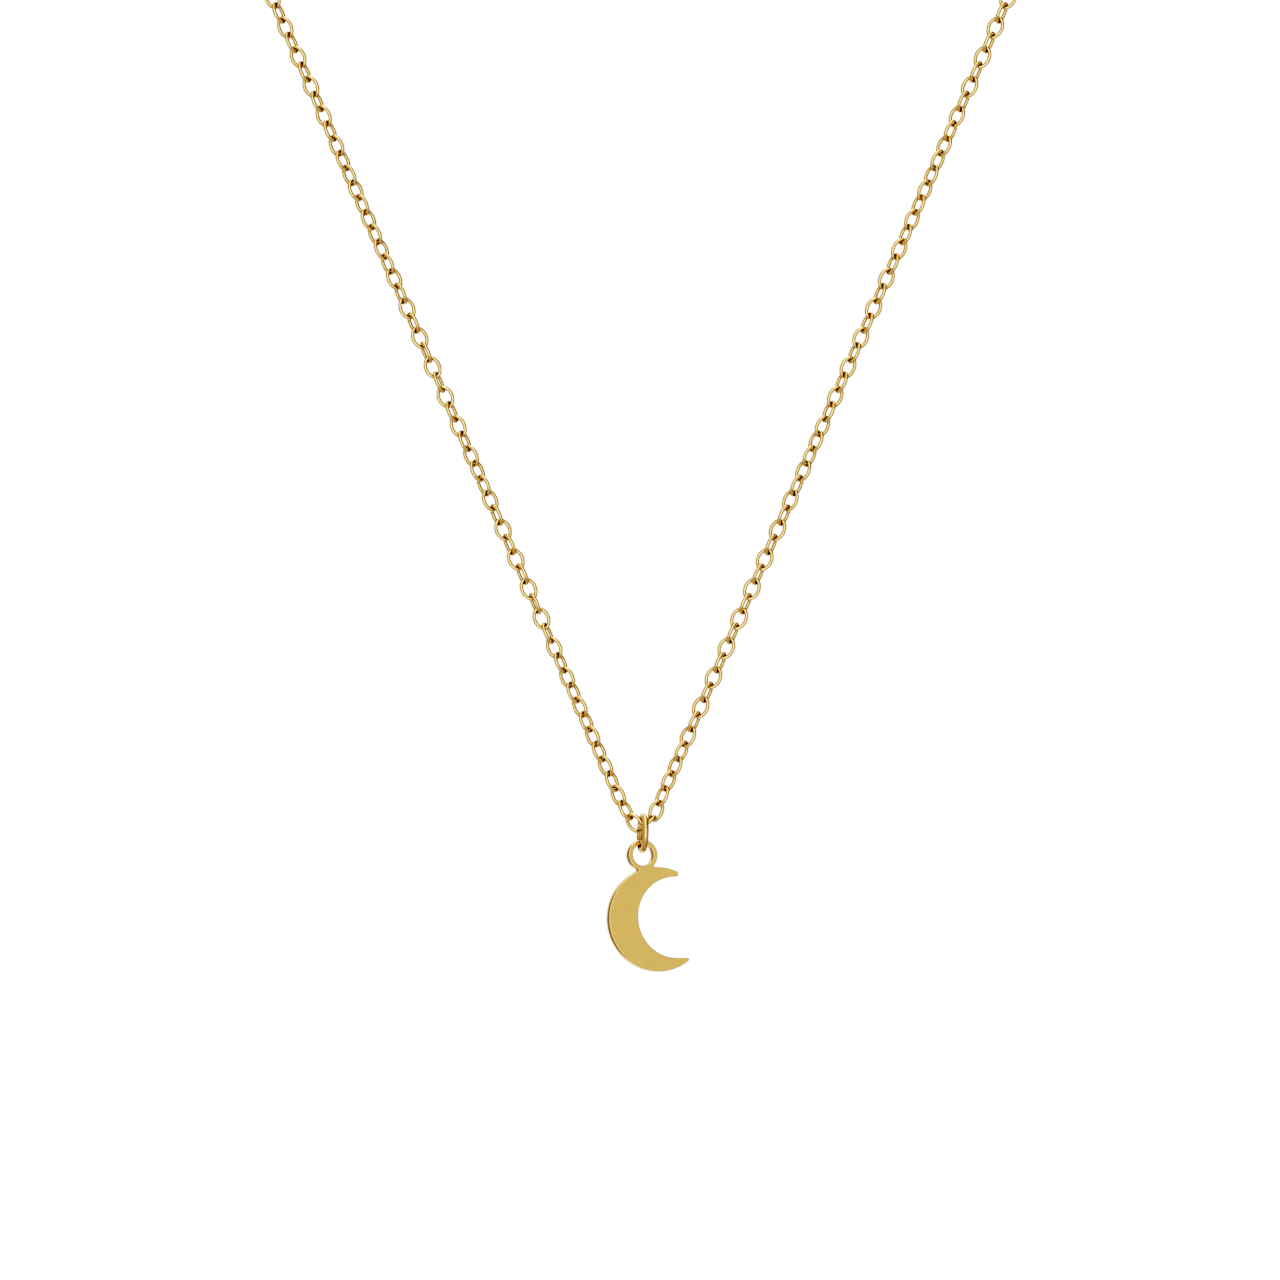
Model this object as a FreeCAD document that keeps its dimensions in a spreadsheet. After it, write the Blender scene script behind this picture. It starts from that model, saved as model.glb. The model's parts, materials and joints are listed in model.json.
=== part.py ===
import FreeCAD, Part
import math
import os

# Pendant necklace: a fine oval cable chain worn round a neck, hanging in a V to
# a jump ring that carries a plain crescent-moon plate; lobster clasp, extension
# chain and end drop at the nape.
#
# Frame: millimetres, +Z up, the wearer's body towards +Y, the viewer at -Y.
# Origin: centre of the neck opening on the level where the two front strands
# pass over the shoulders.

V = FreeCAD.Vector
doc = FreeCAD.newDocument("pendant_necklace")
sheet = doc.addObject("Spreadsheet::Sheet", "sizes")

rows = [
    # fine cable chain link: oval of four arcs, round wire
    ("link_half_length", "1.01"),
    ("link_half_width", "0.685"),
    ("link_end_arc", "0.50"),
    ("link_wire", "0.175"),
    ("link_pitch", "1.61"),
    ("strand_links", "78"),
    ("strand_slope", "23.44"),
    ("strand_foot", "1.875"),
    # pendant jump ring
    ("ring_mean", "1.70"),
    ("ring_wire", "0.30"),
    # crescent plate
    ("moon_outer", "5.255"),
    ("moon_inner", "4.05"),
    ("moon_inner_u", "1.95"),
    ("moon_inner_v", "0.25"),
    ("moon_floor_slope", "-0.9"),
    ("moon_trim_u", "2.15"),
    ("moon_loop_u", "-1.625"),
    ("moon_loop_v", "6.39"),
    ("moon_loop_outer", "1.565"),
    ("moon_loop_hole", "1.04"),
    ("moon_plate", "0.95"),
    ("moon_rim", "0.11"),
    ("moon_notch", "0.22"),
    ("moon_yaw", "20"),
    ("moon_pitch", "-5"),
    ("moon_roll", "-2"),
    ("moon_play", "0.24"),
    # nape hardware
    ("nape_y", "51.5"),
    ("nape_z", "33.0"),
    ("clasp_x", "4.25"),
    ("clasp_depth", "1.80"),
    ("clasp_outer_long", "3.75"),
    ("clasp_outer_short", "2.10"),
    ("clasp_inner_long", "2.30"),
    ("clasp_inner_short", "1.15"),
    ("clasp_slot", "1.00"),
    ("lever_depth", "0.84"),
    ("lever_root", "0.85"),
    ("rivet_radius", "0.25"),
    ("lever_bore", "0.28"),
    ("tail_outer", "1.05"),
    ("tail_hole", "0.55"),
    ("tail_depth", "0.90"),
    ("small_ring_mean", "1.25"),
    ("small_ring_wire", "0.25"),
    # extension chain
    ("ext_half_length", "1.55"),
    ("ext_half_width", "1.15"),
    ("ext_end_arc", "0.85"),
    ("ext_wire", "0.25"),
    ("ext_pitch", "2.55"),
    ("ext_turn", "20"),
    ("drop_ring_mean", "1.20"),
    ("drop_ring_wire", "0.20"),
    ("drop_radius", "1.35"),
]
for i, (name, value) in enumerate(rows):
    sheet.set("A%d" % (i + 1), name)
    sheet.set("B%d" % (i + 1), value)
    sheet.setAlias("B%d" % (i + 1), name)
doc.recompute()


def size(name):
    return float(getattr(sheet, name))


made = {}


def placed(obj, label, pl):
    obj.Label = label
    obj.Placement = pl
    made[label] = obj


def add_feature(label, shape, pl):
    obj = doc.addObject("Part::Feature", label)
    obj.Shape = shape
    placed(obj, label, pl)
    return obj


def frame(origin, ex, ey, ez):
    m = FreeCAD.Matrix(ex.x, ey.x, ez.x, origin.x,
                       ex.y, ey.y, ez.y, origin.y,
                       ex.z, ey.z, ez.z, origin.z,
                       0, 0, 0, 1)
    return FreeCAD.Placement(m)


def unit(v):
    v = V(v)
    v.normalize()
    return v


# ---------------------------------------------------------------- chain links
def oval_arcs(half_length, half_width, end_arc):
    """Centres, radii, first angles and sweeps of the four arcs of an oval."""
    a = half_length - end_arc
    side = (a * a + half_width ** 2 - end_arc ** 2) / (2 * (half_width - end_arc))
    off = side - half_width
    al = math.degrees(math.atan2(off, a))
    return [(a, 0, "end", -al, 2 * al), (0, -off, "side", al, 180 - 2 * al),
            (-a, 0, "end", 180 - al, 2 * al), (0, off, "side", 180 + al, 180 - 2 * al)], side


def link_master(name, half_length, half_width, end_arc, wire, end_alias, wire_alias):
    """One link of round wire: four torus segments fused to a closed oval."""
    arcs, side = oval_arcs(half_length, half_width, end_arc)
    segments = []
    for n, (cx, cy, kind, first, sweep) in enumerate(arcs):
        seg = doc.addObject("Part::Torus", "%s_arc_%d" % (name, n + 1))
        if kind == "end":
            seg.setExpression("Radius1", "sizes." + end_alias)
        else:
            seg.Radius1 = side
        seg.setExpression("Radius2", "sizes." + wire_alias)
        seg.Angle3 = sweep
        seg.Placement = FreeCAD.Placement(V(cx, cy, 0), FreeCAD.Rotation(V(0, 0, 1), first))
        segments.append(seg)
    fuse = doc.addObject("Part::MultiFuse", name + "_wire")
    fuse.Shapes = segments
    doc.recompute()
    solid = fuse.Shape.Solids[0]
    return Part.makeSolid(solid.Shells[0]) if solid.Volume < 0 else solid


fine = link_master("fine_link", size("link_half_length"), size("link_half_width"),
                   size("link_end_arc"), size("link_wire"), "link_end_arc", "link_wire")
coarse = link_master("extension_link", size("ext_half_length"), size("ext_half_width"),
                     size("ext_end_arc"), size("ext_wire"), "ext_end_arc", "ext_wire")

pitch = size("link_pitch")
slope = math.radians(size("strand_slope"))
strand_links = int(size("strand_links"))
z_low = -strand_links * pitch * math.cos(slope)     # level of the lowest straight links
Y = V(0, 1, 0)
down = {"left": V(math.sin(slope), 0, -math.cos(slope)),
        "right": V(-math.sin(slope), 0, -math.cos(slope))}
across = {"left": V(math.cos(slope), 0, math.sin(slope)),
          "right": V(math.cos(slope), 0, -math.sin(slope))}
sign = {"left": -1.0, "right": 1.0}


def level(side, m):
    """Point of contact m links above the foot of a front strand."""
    foot = V(sign[side] * size("strand_foot"), 0, z_low)
    return foot - down[side] * (m * pitch)


def link_at(centre, d, n, b, roll):
    """Placement of a link: long axis d, width axis turned by roll from n towards b."""
    r = math.radians(roll)
    w = n * math.cos(r) + b * math.sin(r)
    return frame(centre, d, w, d.cross(w))


# Roll of the links of the two strands about the strand (degrees), from link 56 down to the
# foot: neighbours stand roughly a quarter turn apart, and the pair wanders.
rolls = {
    "left": [
        61, -28, 60, -28, 61, -24, 62, -24, 61, -30, 58, -36, 49, -46, 40, -49, 42, -47, 44, -52,
        33, -61, 22, -63, 17, -71, 1, 72, -10, 64, -22, 61, -36, 46, -52, 30, -62, 15, -64, 14,
        -65, 10, -72, -1, 71, -28, 58, -36, 50, -40, 49, -41.5, 48, -41, 50, -39],
    "right": [
        64, -15, 64, -14, 65, -12, 63, -22, 61, -32, 54, -40, 46, -48, 40, -52, 36, -56, 30, -61,
        24, -63, 20, -62, 22, -62, 24, -61, 28, -60, 38, -44, 50, -37, 56, -30, 61, -20, 64, -10,
        66, -8, 67, -6, 66, -8, 65, -12, 64, -17, 63, -30, 50, -44, 42, -51.5],
}
# Higher up the pair turns evenly: (links above the foot's count, twist) at both ends.
top_twist = {"left": (54, 0, -30), "right": (55, 90, 75)}


def roll_of(side, i):
    if i <= 56:
        return rolls[side][56 - i]
    first, far, near = top_twist[side]
    k = first - i
    value = far if k < -18 else near + (far - near) * k / -18.0
    return value + (0 if k % 2 else 90)


def group(label, origin, placements, solid):
    """Separate link solids in one node, in its own coordinates at origin."""
    back = FreeCAD.Placement(origin, FreeCAD.Rotation()).inverse()
    parts = []
    for pl in placements:
        s = solid.copy()
        s.Placement = back.multiply(pl)
        parts.append(s)
    return add_feature(label, Part.makeCompound(parts), FreeCAD.Placement(origin, FreeCAD.Rotation()))


# Front strands in runs, from the shoulder down
breaks = [78, 56, 42, 30, 20, 12, 5, 0]
for side in ("left", "right"):
    for g in range(len(breaks) - 1):
        top, bottom = breaks[g], breaks[g + 1]
        pls = [link_at((level(side, i) + level(side, i - 1)) * 0.5, down[side], across[side], Y,
                       roll_of(side, i)) for i in range(top, bottom, -1)]
        group("%s_front_chain_%d" % (side, g + 1), level(side, top), pls, fine)


# Junction: the links at the point of the V, (centre from the foot level, long axis, width axis)
junction = {
    "l54": ((-1.4538, -0.0187, -0.6917), (0.5190, 0.0044, -0.8548), (0.5187, 0.7932, 0.3191)),
    "l2": ((-0.5323, 0.0469, -2.0124), (0.6327, 0.0355, -0.7735), (0.6907, -0.4775, 0.5430)),
    "c": ((0.6261, -0.0391, -1.9235), (0.8002, 0.0382, 0.5985), (-0.1210, 0.9877, 0.0988)),
    "r1": ((1.5946, 0.0240, -0.7588), (-0.3310, 0.0342, -0.9430), (0.8095, 0.5239, -0.2651)),
}


def junction_pl(key):
    c, d, w = junction[key]
    d = unit(V(*d))
    w = V(*w)
    w = unit(w - d * w.dot(d))
    return frame(V(c[0], c[1], c[2] + z_low), d, w, d.cross(w))


group("left_front_chain_8", level("left", 0), [junction_pl("l54"), junction_pl("l2")], fine)
group("centre_link", junction_pl("c").Base, [junction_pl("c")], fine)
group("right_front_chain_8", level("right", 0), [junction_pl("r1")], fine)

# ------------------------------------------------------------ pendant jump ring
ring_c = V(0.2450, -0.0121, -3.0046 + z_low)
ring_up = unit(V(0.0340, 0.0145, 0.9993))
ring_back = V(-0.1771, 0.9840, -0.0201)
ring_back = unit(ring_back - ring_up * ring_back.dot(ring_up))
ring_axis = ring_back.cross(ring_up)
ring = doc.addObject("Part::Torus", "pendant_jump_ring")
ring.setExpression("Radius1", "sizes.ring_mean")
ring.setExpression("Radius2", "sizes.ring_wire")
placed(ring, "pendant_jump_ring", frame(ring_c, ring_back, ring_up, ring_axis))

# ---------------------------------------------------------------- crescent plate
# Built in its own plane: x along the plate, y up, z through the plate.
moon_t = size("moon_plate")


def cylinder(name, radius_alias, height, at, base=0.0):
    c = doc.addObject("Part::Cylinder", name)
    c.setExpression("Radius", "sizes." + radius_alias)
    c.Height = height
    c.Placement = FreeCAD.Placement(V(at[0], at[1], base), FreeCAD.Rotation())
    return c


disc = cylinder("moon_disc", "moon_outer", moon_t, (0, 0))
disc.setExpression("Height", "sizes.moon_plate")
bite = cylinder("moon_bite", "moon_inner", moon_t + 2, (size("moon_inner_u"), size("moon_inner_v")), -1)
fs = math.radians(size("moon_floor_slope"))
floor_box = doc.addObject("Part::Box", "moon_floor")
floor_box.Length, floor_box.Width, floor_box.Height = 4.2, 2.0, moon_t + 2
floor_box.Placement = FreeCAD.Placement(
    V(size("moon_inner_u") - size("moon_inner") * math.sin(fs),
      size("moon_inner_v") - size("moon_inner") * math.cos(fs), -1),
    FreeCAD.Rotation(V(0, 0, 1), -size("moon_floor_slope")))
trim_box = doc.addObject("Part::Box", "moon_trim")
trim_box.Length, trim_box.Width, trim_box.Height = 3.5, 3.2, moon_t + 2
trim_box.Placement = FreeCAD.Placement(V(size("moon_trim_u"), 2.5, -1), FreeCAD.Rotation())
away = doc.addObject("Part::MultiFuse", "moon_away")
away.Shapes = [bite, floor_box, trim_box]
crescent = doc.addObject("Part::Cut", "moon_crescent")
crescent.Base, crescent.Tool = disc, away
loop_disc = cylinder("moon_loop_disc", "moon_loop_outer", moon_t, (size("moon_loop_u"), size("moon_loop_v")))
joined = doc.addObject("Part::MultiFuse", "moon_joined")
joined.Shapes = [crescent, loop_disc]
joined.Refine = True
doc.recompute()


def upright_edges(shape, spots):
    """Numbers of the straight edges through the plate that stand at the given spots."""
    found = []
    for spot, radius in spots:
        best = min(range(len(shape.Edges)), key=lambda n: (
            0 if abs(shape.Edges[n].tangentAt(shape.Edges[n].FirstParameter).z) > 0.99 else 100)
            + (shape.Edges[n].CenterOfMass - V(spot[0], spot[1], moon_t / 2)).Length)
        found.append((best + 1, radius, radius))
    return found


ou, ov, ro = size("moon_loop_u"), size("moon_loop_v"), size("moon_loop_outer")
dist = math.hypot(ou, ov)
along = (size("moon_outer") ** 2 - ro ** 2 + dist ** 2) / (2 * dist)
side_off = math.sqrt(size("moon_outer") ** 2 - along ** 2)
ux, uy = ou / dist, ov / dist
notch_a = (ux * along - uy * side_off, uy * along + ux * side_off)
notch_b = (ux * along + uy * side_off, uy * along - ux * side_off)
tu = size("moon_trim_u")
tip_out = (tu, math.sqrt(size("moon_outer") ** 2 - tu ** 2))
tip_in = (tu, size("moon_inner_v") + math.sqrt(size("moon_inner") ** 2 - (tu - size("moon_inner_u")) ** 2))
fx = size("moon_inner_u") - size("moon_inner") * math.sin(fs)          # floor line meets the disc
fy = size("moon_inner_v") - size("moon_inner") * math.cos(fs)
half_b = fx * math.cos(fs) - fy * math.sin(fs)
reach = -half_b + math.sqrt(half_b ** 2 - fx ** 2 - fy ** 2 + size("moon_outer") ** 2)
tip_low = (fx + reach * math.cos(fs), fy - reach * math.sin(fs))
corners = doc.addObject("Part::Fillet", "moon_corners")
corners.Base = joined
corners.Edges = upright_edges(joined.Shape, [
    (notch_a, size("moon_notch")), (notch_b, size("moon_notch")),
    (tip_out, 0.20), (tip_in, 0.17), (tip_low, 0.13)])
hole = cylinder("moon_hole", "moon_loop_hole", moon_t + 2, (ou, ov), -1)
pierced = doc.addObject("Part::Cut", "moon_pierced")
pierced.Base, pierced.Tool = corners, hole
doc.recompute()
rim = doc.addObject("Part::Fillet", "moon_pendant")
rim.Base = pierced
rim_edges = []
for n, e in enumerate(pierced.Shape.Edges):
    box = e.BoundBox
    if box.ZLength < 1e-6:
        rim_edges.append((n + 1, size("moon_rim"), size("moon_rim")))
rim.Edges = rim_edges
doc.recompute()

# The plate hangs by its loop on the lowest point of the ring's wire.
yaw, tip = math.radians(size("moon_yaw")), math.radians(size("moon_pitch"))
eu = V(math.cos(yaw), math.sin(yaw), 0)
ef = V(math.sin(yaw) * math.cos(tip), -math.cos(yaw) * math.cos(tip), -math.sin(tip))   # front face's normal
ev = ef.cross(eu)
lean = math.radians(size("moon_roll"))                 # how far it is turned in its own plane
eu, ev = eu * math.cos(lean) + ev * math.sin(lean), ev * math.cos(lean) - eu * math.sin(lean)
hang = ring_c - ring_up * size("ring_mean")            # wire centre at the foot of the ring
hole_mid = hang + V(-0.03, 0, 0) - ev * (size("moon_loop_hole") - size("ring_wire") - size("moon_play"))
origin = hole_mid - eu * ou - ev * ov - ef * (moon_t / 2)
placed(rim, "moon_pendant", frame(origin, eu, ev, ef))

# ------------------------------------------------------------- back of the neck
nape = V(0, size("nape_y"), size("nape_z"))
cx = size("clasp_x")
small_c = cx + 1.40                                       # centre of the clasp's jump ring
end_gap = 0.03
small_end = small_c + size("small_ring_mean") - (size("small_ring_wire") + size("link_wire") + end_gap) \
    + size("link_half_length")
ext_c = cx - 9.16                                         # centre of the extension ring
ext_end = ext_c - size("ring_mean") + (size("ring_wire") + size("link_wire") + end_gap) \
    - size("link_half_length")
end_x = {"right": small_end, "left": ext_end}
rise, sweep_x = 22.0, 44.0                                # reach of the curve's two handles
back_counts = {}

for side in ("left", "right"):
    s = sign[side]
    start = level(side, strand_links)
    goal = V(end_x[side] + s * pitch / 2, nape.y, nape.z)
    curve = Part.BezierCurve()
    curve.setPoles([start, start - down[side] * rise, V(s * sweep_x, nape.y, nape.z), goal])
    length = curve.length()
    n_links = int(round(length / pitch))
    step = length / n_links
    # frame carried along the curve without twisting
    samples = 40 * n_links
    t0 = curve.FirstParameter
    here = curve.parameterAtDistance(1e-9, t0)
    t_old = unit(curve.tangent(here)[0])
    n_vec, b_vec = V(across[side]), V(Y)
    frames = []
    for q in range(1, samples + 1):
        u = curve.parameterAtDistance(length * q / samples, t0)
        t_new = unit(curve.tangent(u)[0])
        turn = FreeCAD.Rotation(t_old, t_new)
        n_vec, b_vec = turn.multVec(n_vec), turn.multVec(b_vec)
        t_old = t_new
        frames.append((curve.value(u), V(t_new), V(n_vec), V(b_vec)))
    last = frames[-1]
    # the end link stands upright (width along Z), so the link before it lies flat
    phi = math.degrees(math.atan2(last[3].dot(V(0, 0, 1)), last[2].dot(V(0, 0, 1)))) + 90
    drift = phi - (90 if (n_links - 1) % 2 else 0)
    drift = (drift + 90) % 180 - 90
    pls = []
    for q in range(1, n_links + 1):
        p, t, nv, bv = frames[40 * q - 20 - 1]
        roll = drift * (q - 1) / float(n_links - 1) + (0 if q % 2 else 90)
        pls.append(link_at(p, t * -1.0, nv, bv, roll))
    pls.append(frame(V(end_x[side], nape.y, nape.z), V(s, 0, 0), V(0, 0, 1), V(s, 0, 0).cross(V(0, 0, 1))))
    cut = [0, (n_links + 1) // 3, 2 * (n_links + 1) // 3, n_links + 1]
    back_counts[side] = (n_links + 1, step, length)
    for g in range(3):
        run = pls[cut[g]:cut[g + 1]]
        group("%s_back_chain_%d" % (side, g + 1), run[0].Base, run, fine)

small = doc.addObject("Part::Torus", "clasp_jump_ring")
small.setExpression("Radius1", "sizes.small_ring_mean")
small.setExpression("Radius2", "sizes.small_ring_wire")
placed(small, "clasp_jump_ring", FreeCAD.Placement(V(small_c, nape.y, nape.z), FreeCAD.Rotation()))
ext_ring = doc.addObject("Part::Torus", "extension_ring")
ext_ring.setExpression("Radius1", "sizes.ring_mean")
ext_ring.setExpression("Radius2", "sizes.ring_wire")
placed(ext_ring, "extension_ring", FreeCAD.Placement(V(ext_c, nape.y, nape.z), FreeCAD.Rotation()))

# ---------------------------------------------------------------- lobster clasp
# Drawn in its own plane: x from the tail eye towards the hook, y towards the
# gate, z through the clasp; the hook holds the extension ring.
clasp_pl = frame(V(cx, nape.y, nape.z), V(-1, 0, 0), V(0, 0, 1), V(0, 1, 0))
cd = size("clasp_depth")


def prism(name, long_alias, short_alias, end_arc, centre, depth):
    """Oval of four arcs, extruded through the clasp's thickness."""
    arcs, side = oval_arcs(size(long_alias), size(short_alias), end_arc)
    edges = []
    for ax, ay, kind, first, sweep in arcs:
        rad = end_arc if kind == "end" else side
        spots = [V(ax + rad * math.cos(math.radians(first + sweep * f)),
                   ay + rad * math.sin(math.radians(first + sweep * f)), 0) for f in (0, 0.5, 1)]
        edges.append(Part.Arc(*spots).toShape())
    o = doc.addObject("Part::Feature", name + "_outline")
    o.Shape = Part.Wire(edges)
    o.Placement = FreeCAD.Placement(V(centre[0], centre[1], -depth / 2), FreeCAD.Rotation())
    x = doc.addObject("Part::Extrusion", name)
    x.Base = o
    x.Dir = V(0, 0, 1)
    x.DirMode = "Custom"
    x.LengthFwd = depth
    x.Solid = True
    return x


def block(name, lo, hi):
    b = doc.addObject("Part::Box", name)
    b.Length, b.Width, b.Height = hi[0] - lo[0], hi[1] - lo[1], hi[2] - lo[2]
    b.Placement = FreeCAD.Placement(V(*lo), FreeCAD.Rotation())
    return b


def rod(name, radius_alias, centre, depth):
    c = doc.addObject("Part::Cylinder", name)
    c.setExpression("Radius", "sizes." + radius_alias)
    c.Height = depth
    c.Placement = FreeCAD.Placement(V(centre[0], centre[1], -depth / 2), FreeCAD.Rotation())
    return c


pivot = (2.75, 0.45)
shell = prism("clasp_shell", "clasp_outer_long", "clasp_outer_short", 1.35, (5.10, 0), cd)
throat = prism("clasp_throat", "clasp_inner_long", "clasp_inner_short", 0.72, (5.85, 0), cd + 2)
doc.recompute()
shell_round = doc.addObject("Part::Fillet", "clasp_shell_round")
shell_round.Base = shell
shell_round.Edges = [(n + 1, 0.32, 0.32) for n, e in enumerate(shell.Shape.Edges)
                     if e.BoundBox.ZLength < 1e-6]
tail = rod("clasp_tail", "tail_outer", (0, 0), size("tail_depth"))
neck = block("clasp_neck", (0.70, -0.55, -size("tail_depth") / 2), (2.0, 0.55, size("tail_depth") / 2))
solid_body = doc.addObject("Part::MultiFuse", "clasp_solid")
solid_body.Shapes = [shell_round, tail, neck]
slot = size("clasp_slot")
gate = block("clasp_gate", (3.60, 0.12, -cd), (6.20, 3.0, cd))
groove = block("clasp_groove", (1.82, -0.50, -slot / 2), (4.2, 3.0, slot / 2))
eye = rod("clasp_eye", "tail_hole", (0, 0), 3.0)
pin_hole = rod("clasp_pin_hole", "rivet_radius", pivot, 4.0)
clasp_away = doc.addObject("Part::MultiFuse", "clasp_away")
clasp_away.Shapes = [throat, gate, groove, eye, pin_hole]
clasp = doc.addObject("Part::Cut", "clasp_body")
clasp.Base, clasp.Tool = solid_body, clasp_away
placed(clasp, "clasp_body", clasp_pl)

rivet = rod("clasp_rivet", "rivet_radius", pivot, cd)
rivet.Placement = clasp_pl.multiply(rivet.Placement)
made["clasp_rivet"] = rivet

ld = size("lever_depth")
outer = Part.Arc(V(2.35, 1.15, 0), V(4.2, 2.0, 0), V(6.0, 1.70, 0)).toShape()
inner = Part.Arc(V(7.02, 0.50, 0), V(5.2, 0.95, 0), V(3.3, -0.05, 0)).toShape()
arm_edges = [outer,
             Part.makeLine(V(6.0, 1.70, 0), V(6.08, 1.03, 0)),
             Part.makeLine(V(6.08, 1.03, 0), V(6.55, 0.99, 0)),
             Part.makeLine(V(6.55, 0.99, 0), V(7.0, 0.85, 0)),
             Part.makeLine(V(7.0, 0.85, 0), V(7.02, 0.50, 0)),
             inner,
             Part.makeLine(V(3.3, -0.05, 0), V(2.35, 1.15, 0))]
arm_face = Part.Face(Part.Wire(arm_edges))
arm_solid = arm_face.extrude(V(0, 0, ld))
arm_solid.translate(V(0, 0, -ld / 2))
nub_edges = [Part.Arc(V(2.85, 1.45, 0), V(3.25, 2.62, 0), V(3.95, 1.80, 0)).toShape(),
             Part.makeLine(V(3.95, 1.80, 0), V(2.85, 1.45, 0))]
nub = Part.Face(Part.Wire(nub_edges)).extrude(V(0, 0, ld))
nub.translate(V(0, 0, -ld / 2))
arm = doc.addObject("Part::Feature", "lever_arm")
arm.Shape = arm_solid
thumb = doc.addObject("Part::Feature", "lever_thumb")
thumb.Shape = nub
root = rod("lever_root_disc", "lever_root", pivot, ld)
lever_solid = doc.addObject("Part::MultiFuse", "lever_solid")
lever_solid.Shapes = [arm, thumb, root]
bore = rod("lever_bore_hole", "lever_bore", pivot, ld + 1)
lever = doc.addObject("Part::Cut", "clasp_lever")
lever.Base, lever.Tool = lever_solid, bore
placed(lever, "clasp_lever", clasp_pl)

# hairpin spring in the throat, under the lever: a bend and two straight legs
hair_r = 0.08
hair_c, hair_bend, hair_from, hair_sweep = V(4.50, -0.18, 0), 0.40, 125.0, 110.0
bend = doc.addObject("Part::Torus", "spring_bend")
bend.Radius1, bend.Radius2, bend.Angle3 = hair_bend, hair_r, hair_sweep
bend.Placement = FreeCAD.Placement(hair_c, FreeCAD.Rotation(V(0, 0, 1), hair_from))
legs = []
for name, at, way, long in (("spring_leg_upper", hair_from, -1, 1.05),
                            ("spring_leg_lower", hair_from + hair_sweep, 1, 0.40)):
    a = math.radians(at)
    leg = doc.addObject("Part::Cylinder", name)
    leg.Radius, leg.Height = hair_r, long
    go = V(-math.sin(a) * way, math.cos(a) * way, 0)
    leg.Placement = FreeCAD.Placement(hair_c + V(math.cos(a), math.sin(a), 0) * hair_bend,
                                      FreeCAD.Rotation(V(0, 0, 1), go))
    legs.append(leg)
spring = doc.addObject("Part::MultiFuse", "clasp_spring")
spring.Shapes = [bend] + legs
placed(spring, "clasp_spring", clasp_pl)

# -------------------------------------------------------------- extension chain
turn = math.radians(size("ext_turn"))
radial = V(-math.sin(turn), math.cos(turn), 0)
tang = V(math.cos(turn), math.sin(turn), 0)
on_ring = V(ext_c, nape.y, nape.z) + radial * size("ring_mean")
low = V(0, 0, -1)
first_z = size("ring_wire") + size("ext_wire") + 0.03 - size("ext_half_length")
ext_pls = []
for q in range(15):
    w = radial if q % 2 == 0 else tang
    c = on_ring + V(0, 0, first_z - q * size("ext_pitch"))
    ext_pls.append(frame(c, low, w, low.cross(w)))
for g, (a, b) in enumerate(((0, 3), (3, 7), (7, 11), (11, 15))):
    group("extension_chain_%d" % (g + 1), ext_pls[a].Base, ext_pls[a:b], coarse)

foot = ext_pls[-1].Base + V(0, 0, -size("ext_half_length"))
drop_ring_c = foot + V(0, 0, size("ext_wire") + size("drop_ring_wire") + 0.03 - size("drop_ring_mean"))
drop_ring = doc.addObject("Part::Torus", "drop_ring")
drop_ring.setExpression("Radius1", "sizes.drop_ring_mean")
drop_ring.setExpression("Radius2", "sizes.drop_ring_wire")
placed(drop_ring, "drop_ring", frame(drop_ring_c, tang, V(0, 0, 1), tang.cross(V(0, 0, 1))))

# plain teardrop with an eye at the top, eye axis along the ring's wire
eye_mean, eye_wire = 0.68, 0.20
eye_c = drop_ring_c + V(0, 0, -size("drop_ring_mean") - (eye_mean - eye_wire - size("drop_ring_wire") - 0.03))
dr = size("drop_radius")
bead = doc.addObject("Part::Sphere", "drop_bead")
bead.setExpression("Radius", "sizes.drop_radius")
bead.Placement = FreeCAD.Placement(V(0, 0, -4.35), FreeCAD.Rotation())
cone_from = -4.35 + dr * 0.45
cone = doc.addObject("Part::Cone", "drop_taper")
cone.Radius1 = dr * math.sqrt(1 - 0.45 ** 2)
cone.Height = -eye_mean - cone_from
cone.Radius2 = cone.Radius1.Value - cone.Height.Value * 0.45 / math.sqrt(1 - 0.45 ** 2)
if cone.Radius2.Value < 0.2:
    cone.Radius2 = 0.2
cone.Placement = FreeCAD.Placement(V(0, 0, cone_from), FreeCAD.Rotation())
top_eye = doc.addObject("Part::Torus", "drop_eye")
top_eye.Radius1, top_eye.Radius2 = eye_mean, eye_wire
top_eye.Placement = FreeCAD.Placement(V(0, 0, 0), FreeCAD.Rotation(V(0, 1, 0), 90))
end_drop = doc.addObject("Part::MultiFuse", "end_drop")
end_drop.Shapes = [bead, cone, top_eye]
placed(end_drop, "end_drop", frame(eye_c, tang, radial, V(0, 0, 1)))

# ------------------------------------------------------------------------ check
doc.recompute()
os.makedirs("parts", exist_ok=True)
for obj in doc.Objects:
    state = [x for x in obj.State if x in ("Invalid", "Error")]
    if state:
        raise RuntimeError("%s: %s" % (obj.Label, state))
for label, obj in made.items():
    shape = obj.Shape
    if shape.isNull() or not shape.isValid():
        raise RuntimeError(label + " has no valid shape")
    if not shape.Solids:
        raise RuntimeError(label + " has no solid")
    if min(x.Volume for x in shape.Solids) <= 0:
        raise RuntimeError(label + " has a solid of no volume")
for label, obj in made.items():
    obj.Shape.exportStep(os.path.join("parts", label + ".step"))
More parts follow.
